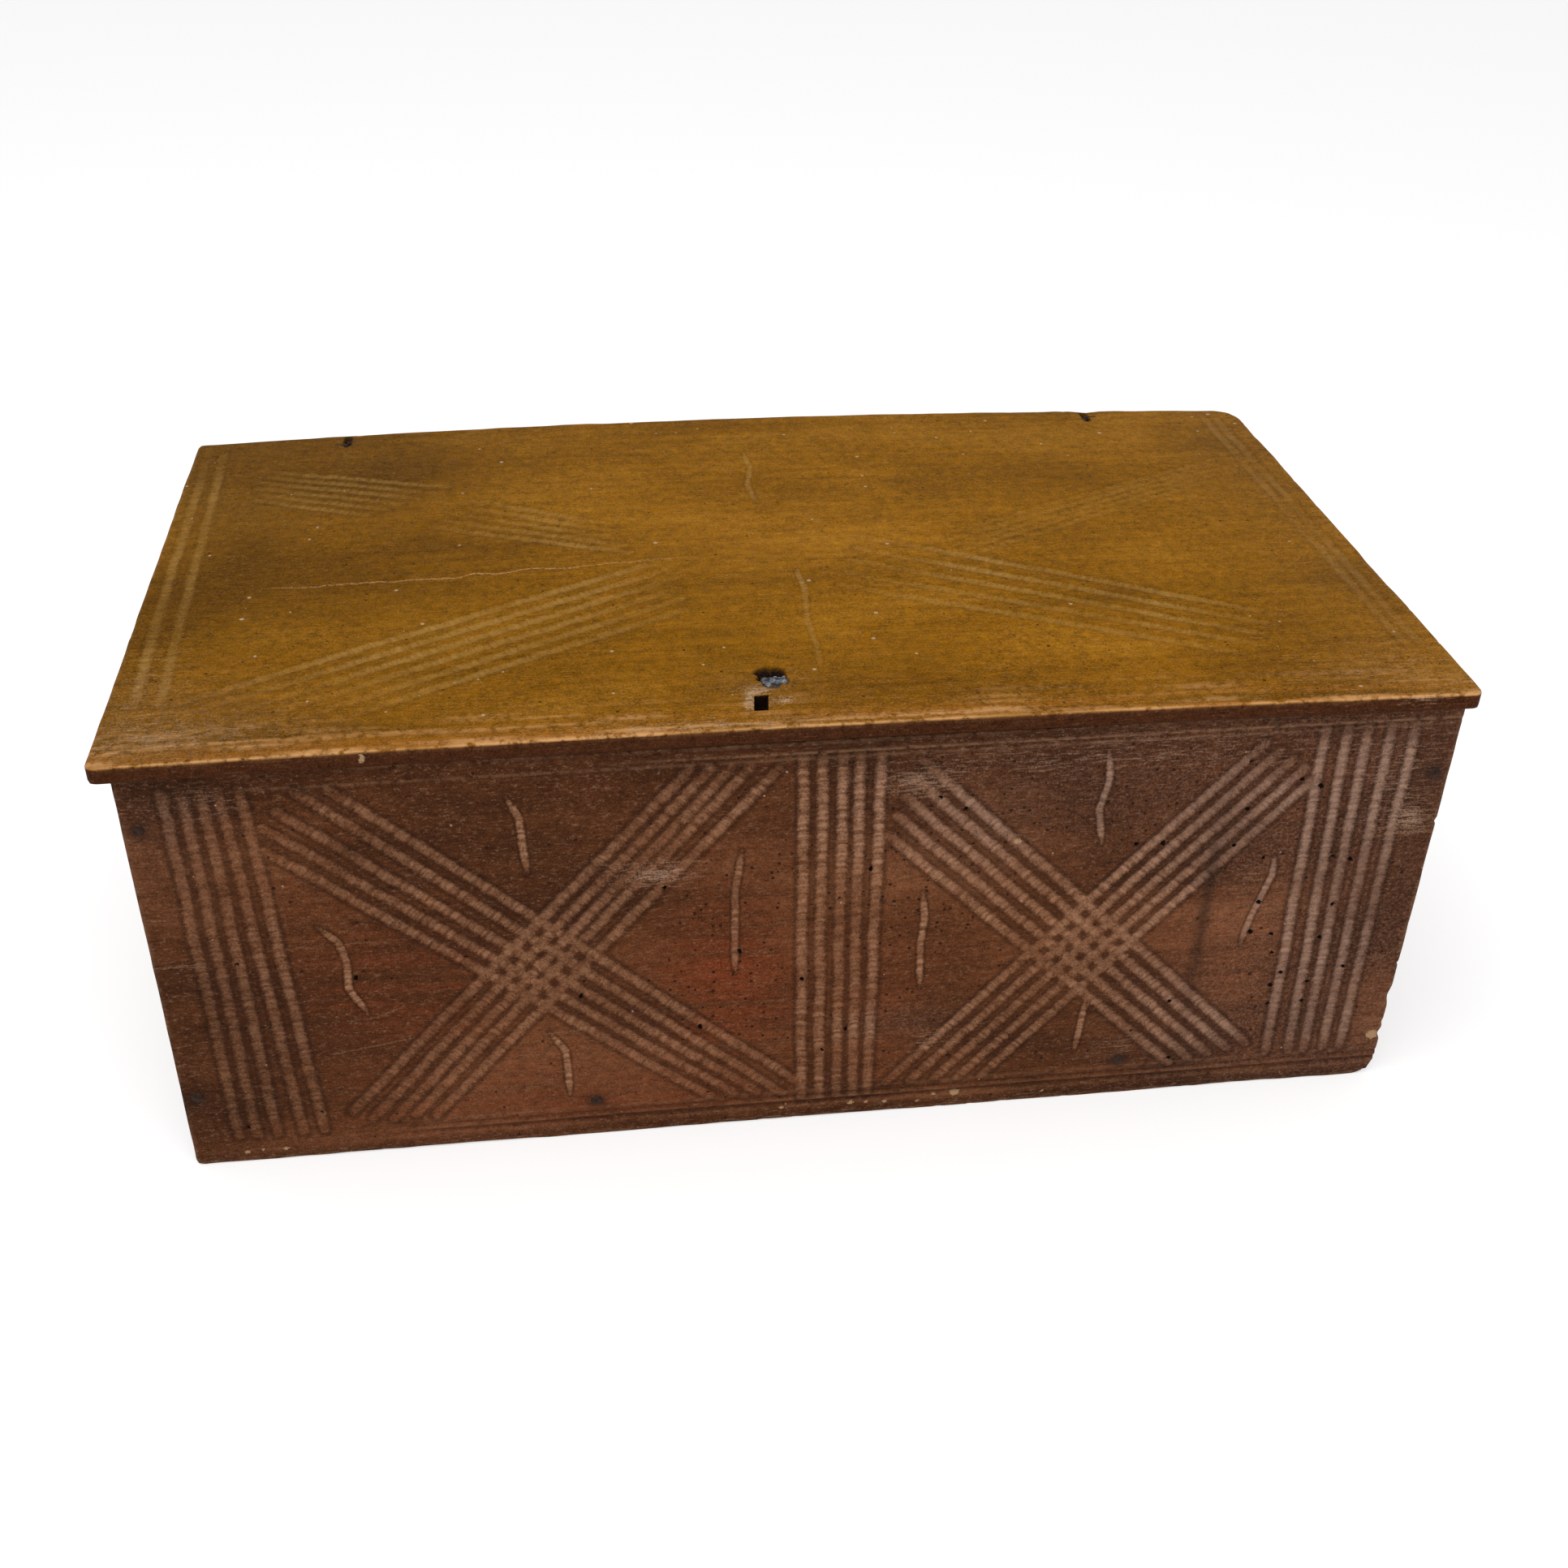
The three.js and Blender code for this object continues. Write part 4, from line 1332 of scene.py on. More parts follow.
    def bored(self, u: Array, v: Array) -> Array:
        """Cones of the wormholes: 1 - distance / radius about the lattice point nearest each.

        Args:
            u: Place along the board.
            v: Place across the board.

        Returns:
            The height of the cone at each point.
        """
        found = np.zeros_like(u)
        for x, z in self.HOLES:
            nearest = np.hypot(u - x * self.length, v - z * self.width).argmin()
            off = np.hypot(u - u[nearest], v - v[nearest])
            found = np.maximum(found, 1 - off / self.hole_radius)
        return np.clip(found, 0, 1)


@dataclass(frozen=True)
class Bundle:
    """A bundle of worn gouge strokes, evenly spread from its first to its last."""

    first: tuple[tuple[float, float], tuple[float, float]]
    last: tuple[tuple[float, float], tuple[float, float]]
    count: int
    pale: float
    width: float = 4.0
    fade: float = 26.0


@dataclass
class PlankLid(Board):
    """The arched lid plank with its hasp slot, torn pit, hinge slots and worn saltire."""

    flat_depth: float = 251.0
    arch: float = 1.8
    bow: float = 5.2
    front_radius: float = 3.6
    back_left_radius: float = 4.0
    back_right_radius: float = 11.5
    slot_box: tuple[float, float, float, float] = (206.22, 210.92, 12.1, 21.4)
    slot_middle: tuple[float, float] = (208.6, 16.7)
    pit: tuple[float, float] = (212.7, 34.5)
    hole_inset: float = 6.7
    stroke_depth: float = 0.25
    border_depth: float = 0.3
    flick_depth: float = 0.35
    face_depth: float = 1.0

    BUNDLES = (
        Bundle(((29.2, 219.0), (104.8, 192.3)), ((30.5, 190.3), (75.0, 170.1)), 6, 0.75, 3.4, 22.0),
        Bundle(((119.0, 177.0), (167.0, 151.0)), ((99.0, 157.0), (172.9, 126.5)), 5, 0.8, 3.4),
        Bundle(((21.5, 35.5), (187.4, 119.6)), ((72.9, 19.2), (189.8, 79.9)), 6, 0.66, 3.8, 40.0),
        Bundle(((262.0, 131.5), (402.0, 58.0)), ((248.0, 93.0), (377.0, 33.0)), 5, 0.8, 3.8, 40.0),
        Bundle(((296.0, 132.0), (425.0, 197.0)), ((296.0, 111.0), (416.0, 176.0)), 5, 0.25, 3.0),
    )

    # Places on the top seen square on, in units of which 1 / 0.000531 are the front's width.
    # They start at CORNER, in those widths, and the lid overhangs the front by OVERHANG.
    UNIT = 0.000531
    FRONT_WIDTH = 440
    CORNER = (-0.03437, 0.58256)
    OVERHANG = (6.3, 3.5)
    BORDERS = ((60, 75, 0.75), (88, 112, 0.75), (1893, 1908, 0.35), (1915, 1930, 0.35))
    BORDER_ENDS = (60, 960)
    FLICKS = (((1000, 185), (1008, 260), (996, 330), (1003, 410)),
              ((1033, 640), (1040, 720), (1030, 820), (1032, 900), (1028, 965)))

    # The long fine crack: u, v and share of tone.
    CRACK = ((38.7, 113.6, 0.5), (60.0, 112.8, 0.7), (85.9, 113.3, 0.9), (109.0, 112.7, 0.9),
             (116.0, 115.7, 1.0), (123.6, 114.2, 1.0), (136.0, 117.8, 1.0),
             (145.6, 115.6, 0.8), (165.0, 118.2, 0.7), (189.0, 120.0, 0.4), (204.0, 120.4, 0.2))

    # Soft patches of each mark: gain, u and v of the centre, and the two sizes.
    PATCHES = {
        "scuff": ((0.8, 208.0, 24.0, 7.0, 3.4), (1.1, 204.6, 16.0, 2.0, 5.0),
                  (0.7, 216.0, 16.5, 6.5, 2.6), (0.38, 22.0, 15.0, 30.0, 9.0),
                  (0.3, 10.0, 45.0, 14.0, 30.0), (0.3, 425.0, 22.0, 26.0, 18.0)),
        "top_scuff": ((0.5, 190.0, 3.0, 50.0, 4.0), (0.12, 300.0, 6.0, 120.0, 7.0)),
        "dry": ((0.8, 18.0, 18.0, 40.0, 24.0), (0.15, 230.0, 130.0, 60.0, 40.0),
                (0.35, 212.0, 28.0, 20.0, 8.0)),
        # The dim patches, the negative ones lighter: tone and painted sheen.
        "dim": ((0.35, 60.0, 215.0, 60.0, 40.0), (0.15, 130.0, 35.0, 40.0, 20.0),
                (-0.3, 235.0, 140.0, 80.0, 45.0), (0.1, 255.0, 42.0, 90.0, 30.0),
                (0.25, 26.0, 165.0, 16.0, 60.0), (-0.25, 330.0, 35.0, 60.0, 25.0)),
    }

    def __post_init__(self) -> None:
        """Takes the plank's flat sizes off its solid, and sets its closer lattice lines."""
        super().__post_init__()
        self.width = self.flat_depth
        self.thickness -= self.arch
        a, b, c, d = self.slot_box
        self.fixed_u, self.fixed_v = [a, b], [c, d]
        self.zones_u = [Zone(a - 2, self.pit[0] + 8, 0.55)]
        self.zones_u += [Zone(place - 2.5, place + 2.5, 0.5) for place, _ in self.hinge_holes()]
        self.zones_v = [Zone(c - 2, self.pit[1] + 8, 0.55)]

    def keep(self, us: Array, vs: Array) -> Array:
        """False in the hasp slot.

        Args:
            us: Lines along the length.
            vs: Lines across the width.

        Returns:
            One value for each cell.
        """
        mid_u = ((us[1:] + us[:-1]) / 2)[:, None]
        mid_v = ((vs[1:] + vs[:-1]) / 2)[None, :]
        a, b, c, d = self.slot_box
        return ~((mid_u > a) & (mid_u < b) & (mid_v > c) & (mid_v < d))

    def hinge_holes(self) -> list[tuple[float, float]]:
        """Middle and inner end of the hole of each hinge.

        Returns:
            A pair (u, v) for each hinge.
        """
        found = []
        for place in HINGES.values():
            u = place - self.low[0]
            bow = self.back_bow(np.array([u]))[0]
            inner = HINGE_AXIS[0] - self.hole_inset - self.low[1]
            found.append((u, inner / (1 + bow / self.width)))
        return found

    def off_hinge(self, u: Array, v: Array, place: float, inner: float) -> Array:
        """Distance from a hinge hole's middle line in half widths, frayed by drift.

        The line runs from 1.3 mm behind the inner end to 2.6 mm short of the back edge.

        Args:
            u: Place along the board.
            v: Place across the board.
            place: Middle of the hole along u.
            inner: Its inner end along v.

        Returns:
            The distance.
        """
        along = v - np.clip(v, inner + 1.3, self.width - 2.6)
        fray = 0.25 * drift(u, v, 1.8, self.seed + 12)
        return np.hypot(u - place, along) / 1.5 + fray

    def back_bow(self, u: Array) -> Array:
        """How far the back edge stands out: 4 bow s(1 - s) between the corners.

        Args:
            u: Place along the board.

        Returns:
            The bow there.
        """
        clear = self.back_left_radius + self.back_right_radius
        s = np.clip((u - self.back_left_radius) / (self.length - clear), 0, 1)
        return 4 * self.bow * s * (1 - s)

    def at(self, x: float, y: float) -> tuple[float, float]:
        """A place of the top seen square on as (u, v)."""
        share_x, share_y = self.CORNER[0] + x * self.UNIT, self.CORNER[1] - y * self.UNIT
        return (share_x * self.FRONT_WIDTH + self.OVERHANG[0],
                share_y * self.FRONT_WIDTH + self.OVERHANG[1])

    def cuts(self) -> list[Cut]:
        """Lists the worn gouge passes of the lid.

        Returns:
            The cuts.
        """
        found = []
        back, front = self.BORDER_ENDS
        for x0, x1, pale in self.BORDERS:
            points = (self.at(x0, back), self.at(x1, front))
            found.append(Cut(points, 3.5, self.border_depth, 12.0, pale))
        for bundle in self.BUNDLES:
            for t in np.linspace(0, 1, bundle.count):
                points = (1 - t) * np.array(bundle.first) + t * np.array(bundle.last)
                found.append(Cut(points, bundle.width, self.stroke_depth, bundle.fade,
                                 bundle.pale))
        for flick in self.FLICKS:
            points = tuple(self.at(x, y) for x, y in flick)
            found.append(Cut(points, 2.1, self.flick_depth, 9.0, 0.95, 1.9, 0.5))
        return found

    def off_crack(self, u: Array, v: Array) -> tuple[Array, Array]:
        """Signed distance from the long fine crack, times 0.65, and its share of tone.

        The crack is read off its places by u, and drift sways it across the grain.

        Args:
            u: Place along the board.
            v: Place across the board.

        Returns:
            The distance and the share.
        """
        place_u, place_v, share = np.array(self.CRACK).T
        middle = np.interp(u, place_u, place_v) + 0.5 * drift(u, u * 0, 5.0, self.seed + 16)
        fade = ease((u - place_u[0]) / 12.0) * ease((place_u[-1] - u) / 20.0)
        return np.clip(0.65 * (v - middle), -6, 6), np.interp(u, place_u, share) * fade

    def relief(self, u: Array, v: Array) -> Array:
        """Depth of the cuts, the torn pit and the rubbed slot edge over the plank's waves.

        Args:
            u: Place along the board.
            v: Place across the board.

        Returns:
            The depth.
        """
        carved, *_ = measure_cuts(u, v, self.cuts(), self.seed)
        a, b, c, d = self.slot_box
        off_u = np.maximum(np.maximum(a - u, u - b), 0)
        off_v = np.maximum(np.maximum(c - v, v - d), 0)
        slot = 0.7 * ease(1 - np.hypot(off_u, off_v) / 1.3)
        sunk = np.maximum(np.maximum(carved, slot), 3.9 * ease((1 - self.torn(u, v)) / 0.45))
        for place, inner in self.hinge_holes():
            sunk = np.maximum(sunk, 1.7 * ease((1.1 - self.off_hinge(u, v, place, inner)) / 0.5))
        sunk = np.maximum(sunk, 1.1 * ease((1.2 - self.torn(u, v)) / 0.6))
        return sunk + super().relief(u, v)

    def torn(self, u: Array, v: Array) -> Array:
        """Distance from the pit's middle in units of its ragged oval, so 1 on its edge.

        The oval is 12 mm by 13 mm, turned 12 degrees, and seeded noise frays its edge.

        Args:
            u: Place along the board.
            v: Place across the board.

        Returns:
            The distance.
        """
        turn = math.radians(-12)
        du, dv = u - self.pit[0] - 1.2, v - self.pit[1] + 2.8
        along = du * math.cos(turn) + dv * math.sin(turn)
        across = dv * math.cos(turn) - du * math.sin(turn)
        fray = 0.2 * drift(u, v, 1.9, self.seed + 11)
        return np.hypot(along / 5.9, across / 6.4) + fray

    def warp(self, u: Array, v: Array, w: Array) -> tuple[Array, Array, Array]:
        """Rounds the plan corners, bows the back edge and arches the plank.

        The slot is turned and the back edge dented at the right hinge. Then v grows by
        the bow's share of the width, and w by the arch that is missing at u: arch less
        4 arch s(1 - s).

        Args:
            u: Place along the board.
            v: Place across the board.
            w: Depth below the seen face.

        Returns:
            The moved u, v and w.
        """
        for right, back, radius in ((False, False, self.front_radius),
                                    (True, False, self.front_radius),
                                    (False, True, self.back_left_radius),
                                    (True, True, self.back_right_radius)):
            u, v = self.rounded_corner(u, v, right, back, radius)
        x, y = self.slot_middle
        turned = ease(1.3 - np.hypot(u - x, v - y) / 16.0)
        turned = turned * np.clip(1 - w / self.thickness, 0, 1)
        u = u + (0.8 + 0.14 * (v - y)) * turned
        v = v - 0.7 * turned * np.clip(v / 6.0, 0, 1)
        dent = np.clip(1 - np.abs(u - self.hinge_holes()[1][0] - 1.5) / 7.0, 0, 1)
        v = v - 1.9 * dent * np.clip(v / self.width, 0, 1) ** 30
        v = v * (1 + self.back_bow(u) / self.width)
        s = u / self.length
        return u, v, w + self.arch * (1 - 4 * s * (1 - s))

    def wear(self, u: Array, v: Array, w: Array) -> Array:
        """Worn arris tone: a bright line on the front arris, rubbed wood and a painted
        highlight, with streaks behind it.

        Args:
            u: Place along the board.
            v: Place across the board.
            w: Depth below the seen face.

        Returns:
            The share of tone.
        """
        broken = 0.75 + 0.45 * drift(u, v * 0, 17.0, self.seed + 14)
        # The bright line on the front arris: rubbed wood and a painted highlight.
        worn_and_lit_arris = np.clip(1 - v / 1.3, 0, 1) * np.clip(1 - w / 0.7, 0, 1) * broken
        streaks = np.clip(drift(u / 14.0, v, 1.7, self.seed + 30) + 0.1, 0, 1)
        streaks = 0.85 * streaks * ease(1 - v / 26.0) * (w < 1.0)
        return np.maximum(super().wear(u, v, w) * 0.2, np.clip(worn_and_lit_arris + streaks, 0, 1))

    def shade(self, u: Array, v: Array, w: Array) -> None:
        """Marks the lid's cuts, crack, chip, scuffs, tints and sides, its dark pit, hinge
        holes and slot in iron stain and painted shade, and painted sheen among its tints.

        Args:
            u: Place along the board.
            v: Place across the board.
            w: Depth below the seen face.
        """
        top = w < self.face_depth
        under = w > self.thickness - 0.01
        _, edge, pale, run = measure_cuts(u, v, self.cuts(), self.seed)
        rubbed = np.clip(0.8 + 0.5 * drift(u, v, 21.0, self.seed + 15), 0, 1)
        # The dark of the torn pit, the hinge holes and the slot's walls: iron stain and painted
        # shade in these hollows.
        stain_and_shade = ease((1.1 - self.torn(u, v)) / 0.3)
        for place, inner in self.hinge_holes():
            stain_and_shade = np.maximum(stain_and_shade, 0.8 * ease(1.8 - self.off_hinge(u, v, place, inner)))
        a, b, c, d = self.slot_box
        in_slot = (u > a - 0.01) & (u < b + 0.01) & (v > c - 0.01) & (v < d + 0.01)
        stain_and_shade = np.maximum(stain_and_shade, 0.85 * (in_slot & (w > 0.5)))
        soft = {mark: patches(u, v, rows) for mark, rows in self.PATCHES.items()}
        scuff = soft["scuff"] + 0.2 + (soft["top_scuff"] + 0.1 * ease(1 - v / 45.0)) * top
        scuff += 0.65 * spot(u, w, (427.5, 1.4), (7.0, 1.6)) * (v < 2.0)
        chip = 1.2 * spot(u, w, (83.0, 2.6), (1.1, 2.2)) * (v < 1.5)
        dry = soft["dry"] + 0.25 * ease((u - 380.0) / 70.0)
        warm = 0.85 * ease(1 - v / 14.0) + 0.2 * ease(1 - v / 80.0)
        # Darker at the left and towards the back, lighter in the middle: tone and painted sheen.
        # Also darker near the front and back edges.
        dim = soft["dim"] + 0.7 * ease(1 - u / 230.0) * (0.3 + 0.7 * ease(v / 120.0))
        dim += 0.25 * ease(1 - v / 70.0) + 0.2 * ease((v - 170.0) / 60.0)
        crack, crack_share = self.off_crack(u, v)
        self.marks = {
            "cut": np.where(top, np.clip(edge + CUT_EDGE, 0, 6), 0),
            "pale": pale * top * rubbed, "run": run, "crack": crack,
            "crack_share": crack_share * top,
            "worn": self.wear(u, v, w), "stain_and_shade": np.clip(stain_and_shade, 0, 1) * ~under,
            "scuff": np.clip(scuff, 0, 1) * ~under, "warm": np.clip(warm, 0, 1) * top,
            "dry": np.where(under, 0.5, np.clip(dry, 0, 1) * top), "chip": np.clip(chip, 0, 1),
            "side": np.where(under, 0.4, ease((w - 0.2) / 0.5)),
            "dim": np.clip(dim, -0.7, 1) * top,
        }


# Iron


def ring_faces(stations: int, sides: int) -> tuple[Array, Array]:
    """Polygons of a rod made of rings and closed by a point at each end.

    Point j of ring i is number i * sides + j, and the two end points follow the rings.
    Quads join each ring to the next, and triangles join the end rings to the end points.

    Args:
        stations: Number of rings.
        sides: Points in a ring.

    Returns:
        Polygon corners and corner counts.
    """
    i = np.arange(stations - 1)[:, None] * sides
    j = np.arange(sides)[None, :]
    k = (j + 1) % sides
    quads = np.stack([i + j, i + k, i + sides + k, i + sides + j], -1).reshape(-1, 4)
    last = (stations - 1) * sides
    near = np.stack([np.full(sides, stations * sides), k[0], j[0]], 1)
    far = np.stack([np.full(sides, stations * sides + 1), last + j[0], last + k[0]], 1)
    corners = np.concatenate([quads.ravel(), near.ravel(), far.ravel()])
    return corners, np.concatenate([np.full(len(quads), 4), np.full(2 * sides, 3)])


def swept(path: Array, sides: int, radius: Array, square: float, seed: int
          ) -> tuple[Array, Array, Array]:
    """A rod along a path, closed by a point at each end.

    Rings stand square to the path at each station, turned so that they never twist. A
    ring's point at angle t lies at radius * (|cos t|^p + |sin t|^p)^(-1/p), which is
    round for p = 2 and nearly square for p = 8. Seeded noise of a few hundredths gives
    the hammer marks.

    Args:
        path: Stations, one row each.
        sides: Points in a ring.
        radius: Radius at each station.
        square: The power p.
        seed: Seed of the hammer marks.

    Returns:
        Points, polygon corners and corner counts.
    """
    ways = np.gradient(path, axis=0)
    ways /= np.linalg.norm(ways, axis=1)[:, None]
    side = np.cross(ways[0], [0.31, 0.17, 0.94])
    first = []
    for way in ways:
        side = side - way * np.dot(side, way)
        side = side / np.linalg.norm(side)
        first.append(side)
    first = np.array(first)
    second = np.cross(ways, first)
    angle = np.arange(sides) * (2 * np.pi / sides)
    power = (np.abs(np.cos(angle)) ** square + np.abs(np.sin(angle)) ** square) ** (-1 / square)
    passed = np.concatenate([[0], np.cumsum(np.linalg.norm(np.diff(path, axis=0), axis=1))])
    marks = 1 + 0.06 * drift(passed[:, None], angle[None, :] * 2.0, 1.7, seed)
    reach = radius[:, None] * power[None, :] * marks
    rings = (path[:, None, :] + first[:, None, :] * (reach * np.cos(angle))[:, :, None]
             + second[:, None, :] * (reach * np.sin(angle))[:, :, None])
    points = np.concatenate([rings.reshape(-1, 3), path[:1] - ways[:1] * 0.1,
                             path[-1:] + ways[-1:] * 0.1])
    return points, *ring_faces(len(path), sides)


def bezier(points: Array, steps: int) -> Array:
    """Points on a cubic curve: the Bernstein weights of t times its four controls.

    Args:
        points: The four controls.
        steps: How many points.

    Returns:
        The points, one row each.
    """
    t = np.linspace(0, 1, steps)[:, None]
    weights = ((1 - t) ** 3, 3 * t * (1 - t) ** 2, 3 * t * t * (1 - t), t**3)
    return sum(weight * point for weight, point in zip(weights, points))


def even_stations(path: Array, gap: float) -> Array:
    """The same path with its stations an even gap apart.

    Args:
        path: Stations, one row each.
        gap: Their new gap in mm.

    Returns:
        The new stations.
    """
    steps = np.linalg.norm(np.diff(path, axis=0), axis=1)
    path = path[np.concatenate([[True], steps > TOUCH])]
    steps = steps[steps > TOUCH]
    passed = np.concatenate([[0], np.cumsum(steps)])
    places = np.linspace(0, passed[-1], max(4, round(passed[-1] / gap)))
    return np.stack([np.interp(places, passed, path[:, axis]) for axis in range(3)], 1)


@dataclass
class SplitPin:
    """Half of a wire hinge: an eye whose two legs pass through wood and are clenched."""

    node: str
    body: str
    across: Array
    along: Array
    centre: Array
    plane_axis: int
    plane: float
    wire: float = 1.0
    eye: float = 2.8
    spread: float = 1.15
    bend: float = 1.5
    clench: float = 7.0
    seed: int = 3

    def route(self) -> Array:
        """The wire's middle line: clench, bend, leg, keyhole eye, leg, bend, clench.

        Returns:
            Stations, one row each.
        """
        halves = []
        for side in (-1.0, 1.0):
            def at(a: float, b: float) -> Array:
                """The point a across and b along from the eye's centre."""
                return self.centre + self.across * (side * a) + self.along * b

            outward_way = np.array([side, 0.0, 0.0])
            neck = at(self.spread, 0)
            reach = (self.plane - neck[self.plane_axis]) / self.along[self.plane_axis]
            corner = at(self.spread, reach)
            before = corner - self.along * self.bend
            after = corner + outward_way * self.bend
            tip = corner + outward_way * self.clench
            bent = bezier(np.array([before, (before + 2 * corner) / 3,
                                    (after + 2 * corner) / 3, after]), 12)
            turn = math.radians(50)
            meet = (self.eye * math.sin(turn), self.eye * math.cos(turn))
            slope = (math.cos(turn), -math.sin(turn))
            throat = bezier(np.array([
                at(self.spread, 4.4), at(self.spread, 3.4),
                at(meet[0] - 0.9 * slope[0], meet[1] - 0.9 * slope[1]), at(*meet)]), 10)
            angles = np.linspace(turn, math.pi, 24)
            arc = np.stack([at(self.eye * math.sin(f), self.eye * math.cos(f)) for f in angles])
            halves.append(np.concatenate([tip[None], bent[::-1], throat, arc]))
        path = np.concatenate([halves[0], halves[1][::-1]])
        return even_stations(path, 0.35)

    def build(self) -> bpy.types.Object:
        """Builds the pin's mesh and gives it its body.

        Returns:
            The pin.
        """
        path = self.route()
        passed = np.concatenate([[0], np.cumsum(np.linalg.norm(np.diff(path, axis=0), axis=1))])
        end = np.minimum(passed, passed[-1] - passed)
        radius = self.wire * (0.35 + 0.63 * ease(end / 2.6))
        points, corners, counts = swept(path, 16, radius, 2.3, self.seed)
        obj = write_mesh(f"{self.node}_wire", points, corners, counts, {}, 60.0)
        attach(obj, self.body)
        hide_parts(self.node)
        return obj


@dataclass
class RoseNail:
    """A forged nail: a square tapered shank under a hammered rose head."""

    node: str
    seed: int
    headed: bool = True
    sides: int = 28

    def build(self) -> bpy.types.Object:
        """Builds the nail from rings along its drive.

        A ring at depth a has radius r and is a regular polygon of so many sides:
        r cos(pi/n) / cos((t mod 2 pi/n) - pi/n), with n = 4 on the shank and 7 on the
        head. Seeded noise dents the head.

        Returns:
            The nail's object.
        """
        low, high = (np.array(c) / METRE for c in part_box(self.node))
        size = high - low
        axis = int(size.argmax())
        way = 1.0 if self.node.split("_")[1] in ("front", "left") else -1.0
        proud, standing = (0.4, 0.6) if self.headed else (-0.25, 0.0)
        start = low[axis] if way > 0 else high[axis]
        surface = start + way * standing
        length = size[axis] - standing
        depth = [length, length - 2, length * 0.6, 6.0, 1.2]
        radius = [0.45, 0.62, 0.95, 1.3, 1.45]
        corners_of = [4.0] * 5
        if self.headed:
            depth += [0.75, 0.55, 0.25, 0.0, -0.18, -0.3, -proud]
            radius += [2.0, 2.35, 2.45, 2.25, 1.8, 1.1, 0.45]
            corners_of += [7.0] * 7
        else:
            depth += [0.6, 0.3]
            radius += [1.45, 1.1]
            corners_of += [4.0] * 2
        depth, radius, count = np.array(depth), np.array(radius), np.array(corners_of)
        t = np.arange(self.sides) * (2 * np.pi / self.sides) + 0.4 * self.seed
        sector = 2 * np.pi / count[:, None]
        ring = radius[:, None] * np.cos(sector / 2) / np.cos(t[None, :] % sector - sector / 2)
        ring = 0.35 * radius[:, None] + 0.65 * ring
        dent = drift(np.cos(t)[None, :] * radius[:, None], np.sin(t)[None, :] * radius[:, None],
                     0.9, self.seed)
        head = (depth < 1.0)[:, None]
        ring = np.where(head, ring * (1 + 0.16 * dent), ring)
        sunk = depth[:, None] + np.where(head & (depth[:, None] < 0.3), 0.12 * (1 + dent), 0)
        sunk = np.maximum(sunk, -proud)
        a, b = [n for n in range(3) if n != axis]
        middle = (low + high) / 2
        points = np.empty((len(depth), self.sides, 3))
        points[:, :, axis] = surface + way * sunk
        points[:, :, a] = middle[a] + ring * np.cos(t)
        points[:, :, b] = middle[b] + ring * np.sin(t)
        tip, crown = middle.copy(), middle.copy()
        tip[axis] = surface + way * length
        crown[axis] = surface - way * proud
        cloud = np.concatenate([points.reshape(-1, 3), tip[None], crown[None]])
        corners, counts = ring_faces(len(depth), self.sides)
        obj = write_mesh(f"{self.node}_forged", cloud, corners, counts, {}, 28.0)
        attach(obj, "case")
        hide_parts(self.node)
        return obj


@dataclass
class HaspStub:
    """The broken square bar that leans forward out of the lid's pit."""

    node: str = "hasp_stub"
    lean: float = math.radians(22)
    width: float = 2.9
    flake: tuple[float, float] = (9.2, 12.4)
    shift: tuple[float, float] = (2.8, -4.4)
    open_side: float = 125.0
    lift: float = 0.3
    stations: int = 18
    rings: int = 12

    def build(self) -> bpy.types.Object:
        """Builds the bar along its leaning line, beaten out into a torn flake at its top.

        The last rings draw in to close the top. Above three quarters of the height the
        section grows to the flake's size about the bar's line and moves to its place. Its
        reach is cut back by up to 0.75 towards the pit's open side, and seeded noise frays
        its outline and crumples it downwards.

        Returns:
            The stub.
        """
        low, high = (np.array(c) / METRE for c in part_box(self.node))
        middle = (low + high) / 2
        way = np.array([0.0, -math.sin(self.lean), math.cos(self.lean)])
        half = (high[2] - low[2]) / 2 / math.cos(self.lean) - self.width * 0.32
        closing = np.linspace(0.96, 0.07, self.rings)
        lifts = half + 0.02 * np.arange(1, self.rings + 1)
        line = np.concatenate([np.linspace(-half, half, self.stations), lifts])
        path = middle + way * line[:, None]
        radius = np.full(self.stations + self.rings, self.width / 2 * 0.94)
        radius[self.stations:] *= closing
        points, corners, counts = swept(path, 40, radius, 4.0, 21)
        height = (points[:, 2] - low[2]) / (high[2] - low[2])
        line = middle[:, None] + way[:, None] * ((points[:, 2] - middle[2]) / way[2])
        share = ease((height - 0.7) / 0.16)
        turn = np.arctan2(points[:, 1] - line[1], points[:, 0] - line[0])
        reach = 1 - 0.75 * np.clip(np.cos(turn - math.radians(self.open_side)), 0, 1)
        reach = reach + 0.22 * drift(np.cos(turn) * 3, np.sin(turn) * 3, 0.8, 27)
        for axis in (0, 1):
            grow = 1 + (self.flake[axis] / self.width * reach - 1) * share
            offset = (points[:, axis] - line[axis]) * grow
            points[:, axis] = line[axis] + offset + self.shift[axis] * share
        crumple = 0.35 * drift(points[:, 0] + 40, points[:, 1] + 140, 1.5, 8)
        crumple = crumple + 0.22 * drift(points[:, 0] + 40, points[:, 1] + 140, 0.7, 9)
        points[:, 2] += share * (self.lift + crumple)
        points[:, 2] = np.clip(points[:, 2], low[2] + 0.02, high[2] + self.lift + 0.1)
        obj = write_mesh("hasp_stub_torn", points, corners, counts, {}, 40.0)
        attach(obj, "lid")
        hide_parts(self.node)
        return obj


# The box, its light and its camera


